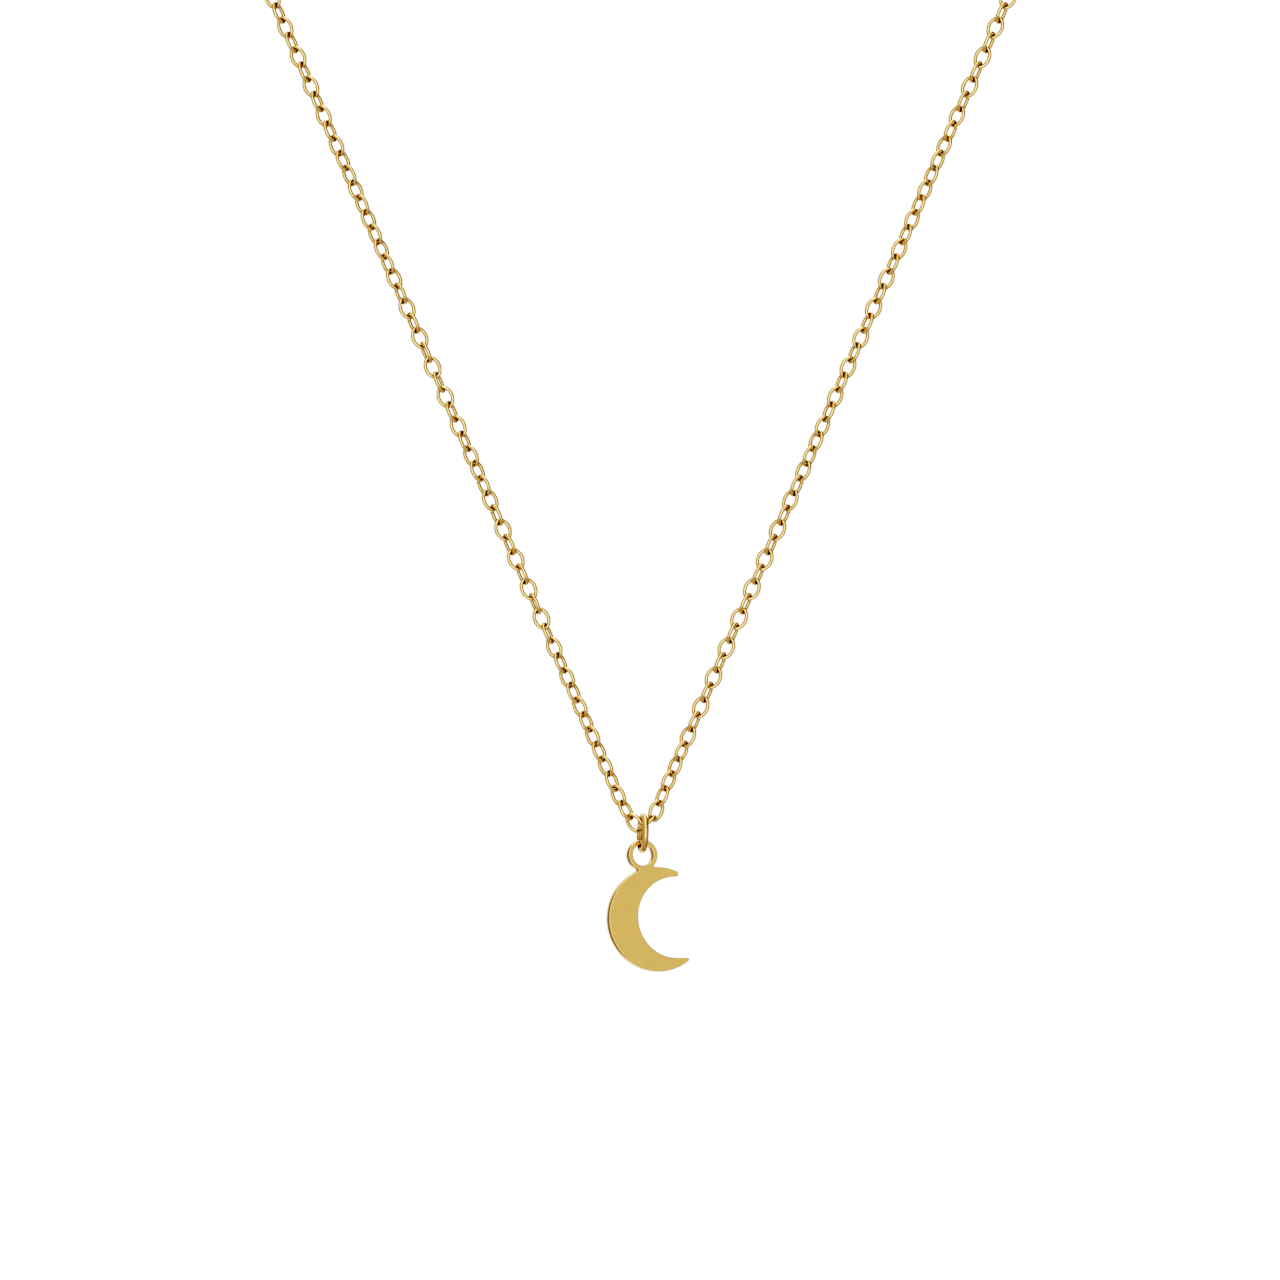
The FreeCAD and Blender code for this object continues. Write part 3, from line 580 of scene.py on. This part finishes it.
def rim_scale(pts, nn, full):
    """How much of the full inset each outline point may take: less round the horns' small tips."""
    n = len(pts)
    step = np.linalg.norm(np.roll(pts, -1, 0) - pts, axis=1)
    lean = np.roll(nn, -1, 0) - nn
    tangent = (np.roll(pts, -1, 0) - pts) / step[:, None]
    curve = (lean * tangent).sum(1) / step              # + where the outline bulges out
    limit = np.where(curve > 0.5, 0.72 / np.maximum(curve, 0.5), 9.0)
    limit = np.minimum(limit, np.roll(limit, 1))
    scale = np.minimum(1.0, limit / full)
    along = np.concatenate([[0], np.cumsum(step)])[:-1]
    total = step.sum()
    out = np.zeros(n)
    for k in range(n):
        d = np.abs((along - along[k] + total / 2) % total - total / 2)
        out[k] = np.min(scale + np.clip(d - 0.02, 0, None) * 0.9)
    for _ in range(3):
        out = (np.roll(out, 1) + 2 * out + np.roll(out, -1)) / 4
    return np.minimum(out, 1.0)


def plate_object(name, rot, origin):
    outline, normals = moon_outline()
    th = np.linspace(0, -2 * math.pi, 96, endpoint=False)
    hole = np.stack([LU + LH * np.cos(th), LV + LH * np.sin(th)], 1)
    hole_n = -np.stack([np.cos(th), np.sin(th)], 1)
    profile = edge_profile(BULGE, CORNER, 6, 9)
    rim_in = profile[0][0]
    scales = [rim_scale(outline, normals, rim_in), np.ones(len(hole))]
    verts, norms, faces, rim_paling = [], [], [], []
    rims = []
    for (pts, nn), sc in zip(((outline, normals), (hole, hole_n)), scales):
        n = len(pts)
        first = len(verts)
        for inset, h, o, u in profile:
            for p, q, k in zip(pts, nn, sc):
                xy = p - q * inset * k
                verts.append((xy[0], xy[1], h))
                norms.append((q[0] * o / k, q[1] * o / k, u))
                # how far round the corner of the cut edge a point lies, for the paler colour there
                rim_paling.append(max(0.0, min(o, abs(u))) * 1.41)
        rows = len(profile)
        for r in range(rows - 1):
            for k in range(n):
                m = (k + 1) % n
                faces.append((first + r * n + k, first + (r + 1) * n + k, first + (r + 1) * n + m, first + r * n + m))
        rims.append((first, n, rows))
    verts, norms = np.array(verts), np.array(norms)
    # the two flat faces: a triangulated grid of points inside the outline, joined to the rim
    edge_out = outline - normals * (rim_in * scales[0])[:, None]
    edge_hole = hole - hole_n * rim_in
    edge_pts = np.concatenate([edge_out, edge_hole])

    def on_face(p):
        return inside_polygon(p, edge_out) and not inside_polygon(p, edge_hole)

    flat_pts = []
    step = 0.33
    gx = np.arange(-OUTER, OUTER + step, step)
    gy = np.arange(-OUTER, LV + LO + step, step * math.sqrt(3) / 2)
    for r, y in enumerate(gy):
        for x in gx + (step / 2 if r % 2 else 0):
            if np.min(np.hypot(edge_pts[:, 0] - x, edge_pts[:, 1] - y)) < 0.20 or not on_face((x, y)):
                continue
            flat_pts.append((x, y))
    flat_pts = np.array(flat_pts)
    from mathutils.geometry import delaunay_2d_cdt
    n_out, n_hole = rims[0][1], rims[1][1]
    pts2 = [Vector(p) for p in edge_pts] + [Vector(p) for p in flat_pts]
    edges = [(k, (k + 1) % n_out) for k in range(n_out)] + \
        [(n_out + k, n_out + (k + 1) % n_hole) for k in range(n_hole)]
    out_v, _, out_f, orig_v, _, _ = delaunay_2d_cdt(pts2, edges, [], 0, 1e-7)
    where = {new: olds[0] for new, olds in enumerate(orig_v)}
    tris = []
    for f in out_f:
        c = sum((Vector(out_v[i]) for i in f), Vector((0, 0))) / 3
        if on_face((c.x, c.y)):
            tris.append([where[i] for i in f])
    # front and back copies of the inner points
    base_front = len(verts)
    inner = np.column_stack([flat_pts, np.full(len(flat_pts), T / 2)])
    base_back = base_front + len(flat_pts)
    inner_b = np.column_stack([flat_pts, np.full(len(flat_pts), -T / 2)])
    verts = np.concatenate([verts, inner, inner_b])
    norms = np.concatenate([norms, np.repeat([[0, 0, 1.0]], len(flat_pts), 0), np.repeat([[0, 0, -1.0]], len(flat_pts), 0)])
    rim_paling = np.concatenate([rim_paling, np.zeros(2 * len(flat_pts))])

    def index(i, side):
        if i < n_out:
            first, n, rows = rims[0]
            return first + (0 if side > 0 else (rows - 1) * n) + i
        if i < n_out + n_hole:
            first, n, rows = rims[1]
            return first + (0 if side > 0 else (rows - 1) * n) + (i - n_out)
        return (base_front if side > 0 else base_back) + (i - n_out - n_hole)

    for f in tris:
        a, b, c = (np.array(pts2[i]) for i in f)
        ccw = (b[0] - a[0]) * (c[1] - a[1]) - (b[1] - a[1]) * (c[0] - a[0]) > 0
        order_ = f if ccw else f[::-1]
        faces.append(tuple(index(i, 1) for i in order_))
        faces.append(tuple(index(i, -1) for i in order_[::-1]))
    # faint dome of the polished faces, the whole section squeezed towards the middle plane
    from_mid = verts[:, :2] - np.array(DOME_AT)
    norms[:, :2] += 2 * DOME * from_mid * np.abs(norms[:, 2:3])
    verts[:, 2] *= 1 - DOME * (from_mid ** 2).sum(1) / (T / 2)
    norms /= np.linalg.norm(norms, axis=1)[:, None]
    placed_at = verts @ rot.T + origin
    # painted shade on the plate where the ring comes close to it
    return make_object(name, placed_at, faces, norms @ rot.T,
                       attrs={"rim_paling": np.clip(rim_paling, 0, 1), "contact_shade": contact_shade_at(placed_at, [line_ring])})


plate_mid = hole_mid - eu * LU - ev * LV
pieces["moon_pendant"] = plate_object("crescent_plate", plate_rot, plate_mid)


# ---------------------------------------------------------------------- end drop
def lathe(profile, normals, around):
    """Surface of revolution about z from the bottom pole to the top pole."""
    verts, norms, faces = [(0, 0, profile[0][1])], [(0, 0, -1.0)], []
    th = np.linspace(0, 2 * math.pi, around, endpoint=False)
    for (r, z), (nr, nz) in zip(profile[1:-1], normals[1:-1]):
        for t in th:
            verts.append((r * math.cos(t), r * math.sin(t), z))
            norms.append((nr * math.cos(t), nr * math.sin(t), nz))
    verts.append((0, 0, profile[-1][1]))
    norms.append((0, 0, 1.0))
    rows = len(profile) - 2
    for k in range(around):
        m = (k + 1) % around
        faces.append((0, 1 + m, 1 + k))
        for r in range(rows - 1):
            a, b = 1 + r * around, 1 + (r + 1) * around
            faces.append((a + k, a + m, b + m, b + k))
        a = 1 + (rows - 1) * around
        faces.append((a + k, a + m, len(verts) - 1))
    return np.array(verts), np.array(norms), faces


def drop_object(name, rot, origin):
    """Teardrop bead whose neck runs into a wire eye."""
    rad, mid = 1.35, -4.35
    cut = math.asin(0.45)
    prof, nrm = [], []
    for k in range(25):
        a = -math.pi / 2 + (cut + math.pi / 2) * k / 24
        prof.append((rad * math.cos(a), mid + rad * math.sin(a)))
        nrm.append((math.cos(a), math.sin(a)))
    r0, z0 = prof[-1]
    z1 = -0.68 + 0.02
    slope = 0.45 / math.sqrt(1 - 0.45 ** 2)
    r1 = max(0.2, r0 - (z1 - z0) * slope)
    for k in range(1, 13):
        f = k / 12
        prof.append((r0 + (r1 - r0) * f, z0 + (z1 - z0) * f))
        nrm.append((math.cos(cut), math.sin(cut)))
    prof.append((r1 * 0.6, z1 + 0.03))
    nrm.append((0.4, 0.916))
    prof.append((0, z1 + 0.04))
    nrm.append((0, 1))
    v, n, f = lathe(prof, nrm, 48)
    bead = make_object(name, v @ rot.T + origin, f, n @ rot.T)
    t = np.radians(np.linspace(0, 360, 72, endpoint=False))
    out = np.stack([np.cos(t), np.sin(t)], 1)
    ev_, en_, ef_ = wire_loop(out * 0.68, out, 0.20, 24)
    to_eye = np.column_stack([[0, 0, 1.0], [0, 1.0, 0], [-1.0, 0, 0]])
    eye = make_object(name + "_eye", (ev_ @ to_eye.T) @ rot.T + origin, ef_)
    mod = bead.modifiers.new("join", "BOOLEAN")
    mod.operation, mod.solver, mod.object = "UNION", "EXACT", eye
    bpy.context.view_layer.update()
    dg = bpy.context.evaluated_depsgraph_get()
    mesh = bpy.data.meshes.new_from_object(bead.evaluated_get(dg))
    bead.modifiers.clear()
    bead.data = mesh
    bpy.data.objects.remove(eye)
    mesh.polygons.foreach_set("use_smooth", [True] * len(mesh.polygons))
    return bead


drop_frame = np.column_stack([tang, radial, [0, 0, 1.0]])
pieces["end_drop"] = drop_object("teardrop", drop_frame, eye_c)


def spring_object(name, origin):
    """Hairpin of round wire: a long leg under the lever, a bend, and a short leg on the throat."""
    wire, bend, mid = 0.08, 0.40, np.array([4.50, -0.18])
    a0, a1 = math.radians(125), math.radians(235)
    out0, out1 = (np.array([math.cos(a), math.sin(a)]) for a in (a0, a1))
    way0, way1 = np.array([out0[1], -out0[0]]), np.array([-out1[1], out1[0]])
    path, out, radius = [], [], []
    for s, r in [(1.05, 0.052), (1.04, 0.068), (1.02, 0.078)] + [(s, wire) for s in np.linspace(0.99, 0.05, 20)]:
        path.append(mid + out0 * bend + way0 * s)
        out.append(out0)
        radius.append(r)
    for a in np.linspace(a0, a1, 33):
        out.append(np.array([math.cos(a), math.sin(a)]))
        path.append(mid + out[-1] * bend)
        radius.append(wire)
    for s, r in [(s, wire) for s in np.linspace(0.04, 0.34, 7)] + [(0.37, 0.078), (0.39, 0.068), (0.40, 0.052)]:
        path.append(mid + out1 * bend + way1 * s)
        out.append(out1)
        radius.append(r)
    path, out = np.array(path), np.array(out)
    around = 24
    verts, norms, faces = wire_loop(path, out, radius, around)
    last = (len(path) - 1) * around
    faces = [f for f in faces if max(f) - min(f) < 3 * around]          # open, not a loop
    verts = np.vstack([verts, [*path[0], 0], [*path[-1], 0]])
    first_mid, last_mid = len(verts) - 2, len(verts) - 1
    for k in range(around):
        m = (k + 1) % around
        faces.append((first_mid, k, m))
        faces.append((last_mid, last + m, last + k))
    to_frame = np.column_stack([[-1.0, 0, 0], [0, 0, 1.0], [0, 1.0, 0]])
    return make_object(name, verts @ to_frame.T + origin, faces)


pin = np.mean([np.array(v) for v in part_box("clasp_rivet")], axis=0) * 1000
clasp_at = pin + np.array([2.75, 0, -0.45])                              # centre of the clasp's tail eye
spring = spring_object("hairpin_spring", clasp_at)


# --------------------------------------------------------------------- materials
def new_material(name):
    mat = bpy.data.materials.new(name)
    mat.use_nodes = True
    nt = mat.node_tree
    nt.nodes.clear()
    out = nt.nodes.new("ShaderNodeOutputMaterial")
    bsdf = nt.nodes.new("ShaderNodeBsdfPrincipled")
    nt.links.new(bsdf.outputs["BSDF"], out.inputs["Surface"])
    return mat, nt, bsdf


def noise(nt, scale, detail=3.0, rough=0.5, distort=0.0):
    co = nt.nodes.new("ShaderNodeTexCoord")
    n = nt.nodes.new("ShaderNodeTexNoise")
    n.inputs["Scale"].default_value = scale
    n.inputs["Detail"].default_value = detail
    n.inputs["Roughness"].default_value = rough
    n.inputs["Distortion"].default_value = distort
    nt.links.new(co.outputs["Object"], n.inputs["Vector"])
    return n.outputs["Fac"]


def to_range(nt, value, a, b, c, d):
    m = nt.nodes.new("ShaderNodeMapRange")
    nt.links.new(value, m.inputs["Value"])
    for key, v in zip(("From Min", "From Max", "To Min", "To Max"), (a, b, c, d)):
        m.inputs[key].default_value = v
    return m.outputs["Result"]


def mix_color(nt, fac, a, b):
    m = nt.nodes.new("ShaderNodeMix")
    m.data_type = "RGBA"
    if isinstance(fac, float):
        m.inputs["Factor"].default_value = fac
    else:
        nt.links.new(fac, m.inputs["Factor"])
    for key, v in (("A", a), ("B", b)):
        socket = [i for i in m.inputs if i.name == key and i.type == "RGBA"][0]
        if isinstance(v, tuple):
            socket.default_value = (*v, 1.0)
        else:
            nt.links.new(v, socket)
    return [o for o in m.outputs if o.type == "RGBA"][0]


def math_node(nt, op, a, b=None, clamp=False):
    m = nt.nodes.new("ShaderNodeMath")
    m.operation = op
    m.use_clamp = clamp
    for k, v in enumerate((a, b)):
        if v is None:
            continue
        if isinstance(v, (int, float)):
            m.inputs[k].default_value = v
        else:
            nt.links.new(v, m.inputs[k])
    return m.outputs[0]


def attribute(nt, name):
    a = nt.nodes.new("ShaderNodeAttribute")
    a.attribute_name = name
    return a.outputs["Fac"]


GOLD = (0.95, 0.64, 0.26)


def gold_material(name, rough, tint=0.03, grain=9000.0, grain_height=2.0e-7, tone=None, rim_paling=None, seam=None, contact_shade=None,
                  gold=GOLD, inner=None):
    mat, nt, bsdf = new_material(name)
    bsdf.inputs["Metallic"].default_value = 1.0
    deep = tuple(c * (1 - tint * k) for c, k in zip(gold, (1.2, 1.6, 2.4)))
    pale = tuple(min(1.0, c * (1 + tint * k)) for c, k in zip(gold, (0.5, 0.9, 1.6)))
    cloud = noise(nt, 1400.0, 4.0, 0.6, 0.3)
    col = mix_color(nt, to_range(nt, cloud, 0.35, 0.65, 0.0, 1.0), deep, pale)
    if tone:
        col = mix_color(nt, to_range(nt, attribute(nt, tone), 0.0, 1.0, 0.0, 0.35), col, deep)
    # the rounded corners of the plate's cut edge are coloured paler
    if rim_paling:
        col = mix_color(nt, to_range(nt, attribute(nt, rim_paling), 0.2, 1.0, 0.0, 0.30), col, (1.0, 0.80, 0.50))
    if inner:                               # painted shade on the inside of each link, the side of the wire that faces into the loop
        col = mix_color(nt, to_range(nt, attribute(nt, inner), 0.0, 1.0, 0.0, 0.30), col, (0.42, 0.24, 0.07))
    if seam:
        col = mix_color(nt, attribute(nt, seam), col, (0.36, 0.20, 0.06))
    if contact_shade:                                # painted shade where two pieces touch: the colour goes almost black there
        col = mix_color(nt, to_range(nt, attribute(nt, contact_shade), 0.0, 1.0, 0.0, 0.97), col, (0.055, 0.022, 0.006))
    nt.links.new(col, bsdf.inputs["Base Color"])
    fine = noise(nt, grain, 2.0, 0.6)
    r = to_range(nt, fine, 0.3, 0.7, rough * 0.8, rough * 1.25)
    if contact_shade:
        r = math_node(nt, "ADD", r, to_range(nt, attribute(nt, contact_shade), 0.0, 1.0, 0.0, 0.25))
    nt.links.new(r, bsdf.inputs["Roughness"])
    bump = nt.nodes.new("ShaderNodeBump")
    bump.inputs["Strength"].default_value = 0.6
    bump.inputs["Distance"].default_value = grain_height
    nt.links.new(fine, bump.inputs["Height"])
    nt.links.new(bump.outputs["Normal"], bsdf.inputs["Normal"])
    return mat


CHAIN_GOLD = (0.97, 0.67, 0.29)             # brightly polished
RING_GOLD = (0.93, 0.64, 0.268)              # the pendant's ring is a shade deeper and softer
chain_gold = gold_material("chain_gold_polished", 0.10, tone="tone", contact_shade="contact_shade", gold=CHAIN_GOLD, inner="inner")
ring_gold = gold_material("ring_gold_polished", 0.32, seam="seam", contact_shade="contact_shade", gold=RING_GOLD)
plate_gold = gold_material("plate_gold_polished", 0.20, tint=0.015, grain=14000.0, grain_height=3.0e-7, rim_paling="rim_paling", contact_shade="contact_shade")
drop_gold = gold_material("drop_gold_polished", 0.12)
clasp_gold = gold_material("clasp_gold_polished", 0.15, tint=0.02)
steel, nt, bsdf = new_material("spring_wire")
bsdf.inputs["Metallic"].default_value = 1.0
nt.links.new(mix_color(nt, noise(nt, 6000.0), (0.52, 0.51, 0.50), (0.68, 0.67, 0.65)), bsdf.inputs["Base Color"])
nt.links.new(to_range(nt, noise(nt, 12000.0), 0.3, 0.7, 0.22, 0.34), bsdf.inputs["Roughness"])

# -------------------------------------------------------- pieces onto their bodies
for node, obj in pieces.items():
    if node == "moon_pendant":
        mat, slot = plate_gold, "pendant_gold"
    elif node == "end_drop":
        mat, slot = drop_gold, "pendant_gold"
    elif node in ("pendant_jump_ring", "clasp_jump_ring", "extension_ring", "drop_ring"):
        mat, slot = ring_gold, "ring_gold"
    else:
        mat, slot = chain_gold, "chain_gold"
    obj.data.materials.clear()
    obj.data.materials.append(mat)
    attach(obj, nodes[node]["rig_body"])
    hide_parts(node)
for node in ("clasp_body", "clasp_lever", "clasp_rivet"):
    nodes[node].data.materials.clear()
    nodes[node].data.materials.append(clasp_gold)
# the spring wire in steel takes the place of the part's spring; it is attached to no body and does not move with the
# lever
spring.data.materials.clear()
spring.data.materials.append(steel)
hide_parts("clasp_spring")
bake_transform(spring)

# ------------------------------------------------------------------ camera, light
scene = bpy.context.scene
cam_data = bpy.data.cameras.new("camera")
cam = bpy.data.objects.new("camera", cam_data)
scene.collection.objects.link(cam)
scene.camera = cam
cam_data.sensor_width = 36.0
DIST = 0.9
cam_data.lens = 36.0 * DIST / 0.128
cam_data.clip_start, cam_data.clip_end = 0.01, 100.0
cam.location = (-0.000025, -DIST, -0.0989)
cam.rotation_euler = (math.pi / 2, 0, 0)

# The studio is a soft surround: a broad light in front, a white sweep behind and
# overhead, a pale table underneath, and dim gaps on both sides.
SWEEP = 1.10                   # radiance of the white sweep, the picture's white
world = bpy.data.worlds.new("studio")
scene.world = world
world.use_nodes = True
wt = world.node_tree
wt.nodes.clear()
co = wt.nodes.new("ShaderNodeTexCoord")
sep = wt.nodes.new("ShaderNodeSeparateXYZ")
wt.links.new(co.outputs["Generated"], sep.inputs[0])
dx, dy, dz = sep.outputs
azim = math_node(wt, "MULTIPLY", math_node(wt, "ARCTAN2", dx, math_node(wt, "MULTIPLY", dy, -1.0)), 57.29578)
elev = math_node(wt, "MULTIPLY", math_node(wt, "ARCSINE", dz), 57.29578)


def edge(value, at, soft):
    """0 below at, 1 above it, over a soft edge."""
    m = wt.nodes.new("ShaderNodeMapRange")
    m.interpolation_type = "SMOOTHSTEP"
    wt.links.new(value, m.inputs["Value"])
    m.inputs["From Min"].default_value = at - soft
    m.inputs["From Max"].default_value = at + soft
    return m.outputs["Result"]


def band(value, lo, hi, soft):
    parts = []
    if lo is not None:
        parts.append(edge(value, lo, soft))
    if hi is not None:
        parts.append(math_node(wt, "SUBTRACT", 1.0, edge(value, hi, soft)))
    return parts[0] if len(parts) == 1 else math_node(wt, "MULTIPLY", *parts)


def lamp(level_, az=None, el=None):
    out = None
    for value, span in ((azim, az), (elev, el)):
        if span is None:
            continue
        b = band(value, *span)
        out = b if out is None else math_node(wt, "MULTIPLY", out, b)
    return math_node(wt, "MULTIPLY", out, level_)


away = math_node(wt, "ABSOLUTE", azim)
tilt = math_node(wt, "ABSOLUTE", elev)
lamps = [
    lamp(1.36, (-26, 21, 7), (-34, None, 12)),                # upright strip light by the camera
    lamp(0.57, (24, 62, 10), (-44, 42, 12)),                  # soft light in front, to the right
    lamp(0.44, (-66, 30, 12), (-60, 60, 12)),                 # and weaker to the left
    lamp(0.66, (-60, 50, 12), (40, None, 14)),                # it brightens higher up
    lamp(0.38, (-112, -40, 8), (-66, 66, 12)),                # left side
    lamp(0.27, (-128, -100, 6), (-30, 30, 12)),               # and a dimmer strip beside it
    lamp(0.85, (-166, -141, 5), (-60, 60, 12)),               # pale light far back on the left
    lamp(0.34, (40, 108, 8), (-66, 12, 9)),                   # right side, low only
    lamp(1.90, None, (70, None, 7)),                          # overhead
    lamp(0.36, None, (None, -50, 14)),                        # table
    math_node(wt, "MULTIPLY", edge(elev, 14, 8),              # bright sweep behind, above
              math_node(wt, "MULTIPLY", edge(away, 152, 7), 0.98)),
    math_node(wt, "MULTIPLY", edge(math_node(wt, "MULTIPLY", elev, -1.0), 10, 5),   # and below the horizon
              math_node(wt, "MULTIPLY", edge(away, 150, 7), 0.90)),
    math_node(wt, "MULTIPLY", edge(away, 148, 6), 0.40),      # darker along the horizon
]
total = lamps[0]
for more in lamps[1:]:
    total = math_node(wt, "MAXIMUM", total, more)
total = math_node(wt, "MAXIMUM", total, 0.12)
bg = wt.nodes.new("ShaderNodeBackground")
wt.links.new(total, bg.inputs["Strength"])
bg.inputs["Color"].default_value = (1.0, 0.995, 0.985, 1.0)
white = wt.nodes.new("ShaderNodeBackground")
white.inputs["Color"].default_value = (1.0, 1.0, 1.0, 1.0)
white.inputs["Strength"].default_value = SWEEP
path = wt.nodes.new("ShaderNodeLightPath")
mixer = wt.nodes.new("ShaderNodeMixShader")
wt.links.new(path.outputs["Is Camera Ray"], mixer.inputs[0])
wt.links.new(bg.outputs[0], mixer.inputs[1])
wt.links.new(white.outputs[0], mixer.inputs[2])
wout = wt.nodes.new("ShaderNodeOutputWorld")
wt.links.new(mixer.outputs[0], wout.inputs["Surface"])

# Pale floor, level and round, running out into the white of the sweep
FLOOR_Z = -0.21
fv, ff = [(0, 0.0, FLOOR_Z)], []
radii = [0.1, 0.2, 0.3, 0.45, 0.6, 0.8, 1.1, 1.6, 2.4, 4.0, 8.0]
for r in radii:
    for k in range(96):
        a = 2 * math.pi * k / 96
        fv.append((r * math.cos(a), r * math.sin(a), FLOOR_Z))
for k in range(96):
    ff.append((0, 1 + k, 1 + (k + 1) % 96))
    for q in range(len(radii) - 1):
        a, b = 1 + q * 96, 1 + (q + 1) * 96
        ff.append((a + k, b + k, b + (k + 1) % 96, a + (k + 1) % 96))
fm = bpy.data.meshes.new("floor")
fm.from_pydata(fv, [], ff)
floor = bpy.data.objects.new("floor", fm)
scene.collection.objects.link(floor)
floor_mat, nt, bsdf = new_material("pale_floor")
bsdf.inputs["Roughness"].default_value = 0.6
nt.links.new(mix_color(nt, noise(nt, 60.0), (0.86, 0.855, 0.85), (0.89, 0.885, 0.88)), bsdf.inputs["Base Color"])
geo = nt.nodes.new("ShaderNodeTexCoord")
length = nt.nodes.new("ShaderNodeVectorMath")
length.operation = "LENGTH"
nt.links.new(geo.outputs["Object"], length.inputs[0])
fade = nt.nodes.new("ShaderNodeMapRange")
fade.interpolation_type = "SMOOTHSTEP"
nt.links.new(length.outputs["Value"], fade.inputs["Value"])
fade.inputs["From Min"].default_value = 0.25
fade.inputs["From Max"].default_value = 0.75
glow = nt.nodes.new("ShaderNodeEmission")
glow.inputs["Color"].default_value = (1.0, 1.0, 1.0, 1.0)
glow.inputs["Strength"].default_value = SWEEP
both = nt.nodes.new("ShaderNodeMixShader")
nt.links.new(fade.outputs["Result"], both.inputs[0])
nt.links.new(bsdf.outputs[0], both.inputs[1])
nt.links.new(glow.outputs[0], both.inputs[2])
nt.links.new(both.outputs[0], [n for n in nt.nodes if n.type == "OUTPUT_MATERIAL"][0].inputs["Surface"])
fm.materials.append(floor_mat)
floor.visible_glossy = False
floor.visible_diffuse = False

# Tone curve of the picture: an S in the logarithm, white at the sweep's radiance
view = scene.view_settings
view.view_transform = "Standard"
view.look = "None"
view.exposure = 0.0
view.gamma = 1.0
view.use_curve_mapping = True
curve = view.curve_mapping
TOP = SWEEP * 0.97
curve.white_level = (TOP, TOP, TOP)
curve.extend = "HORIZONTAL"
combined = curve.curves[3]
stops = [0.0, 0.03, 0.06, 0.09, 0.13, 0.18, 0.24, 0.31, 0.39, 0.48, 0.58, 0.70, 0.80]
for x in stops:
    y = x * x / (x * x + 0.15)
    if x == 0.0:
        combined.points[0].location = (0.0, 0.0)
    else:
        combined.points.new(x / TOP, y)
combined.points.new(0.95 / TOP, 0.905)
curve.update()

# ---------------------------------------------------------------------- finish
bpy.context.view_layer.update()
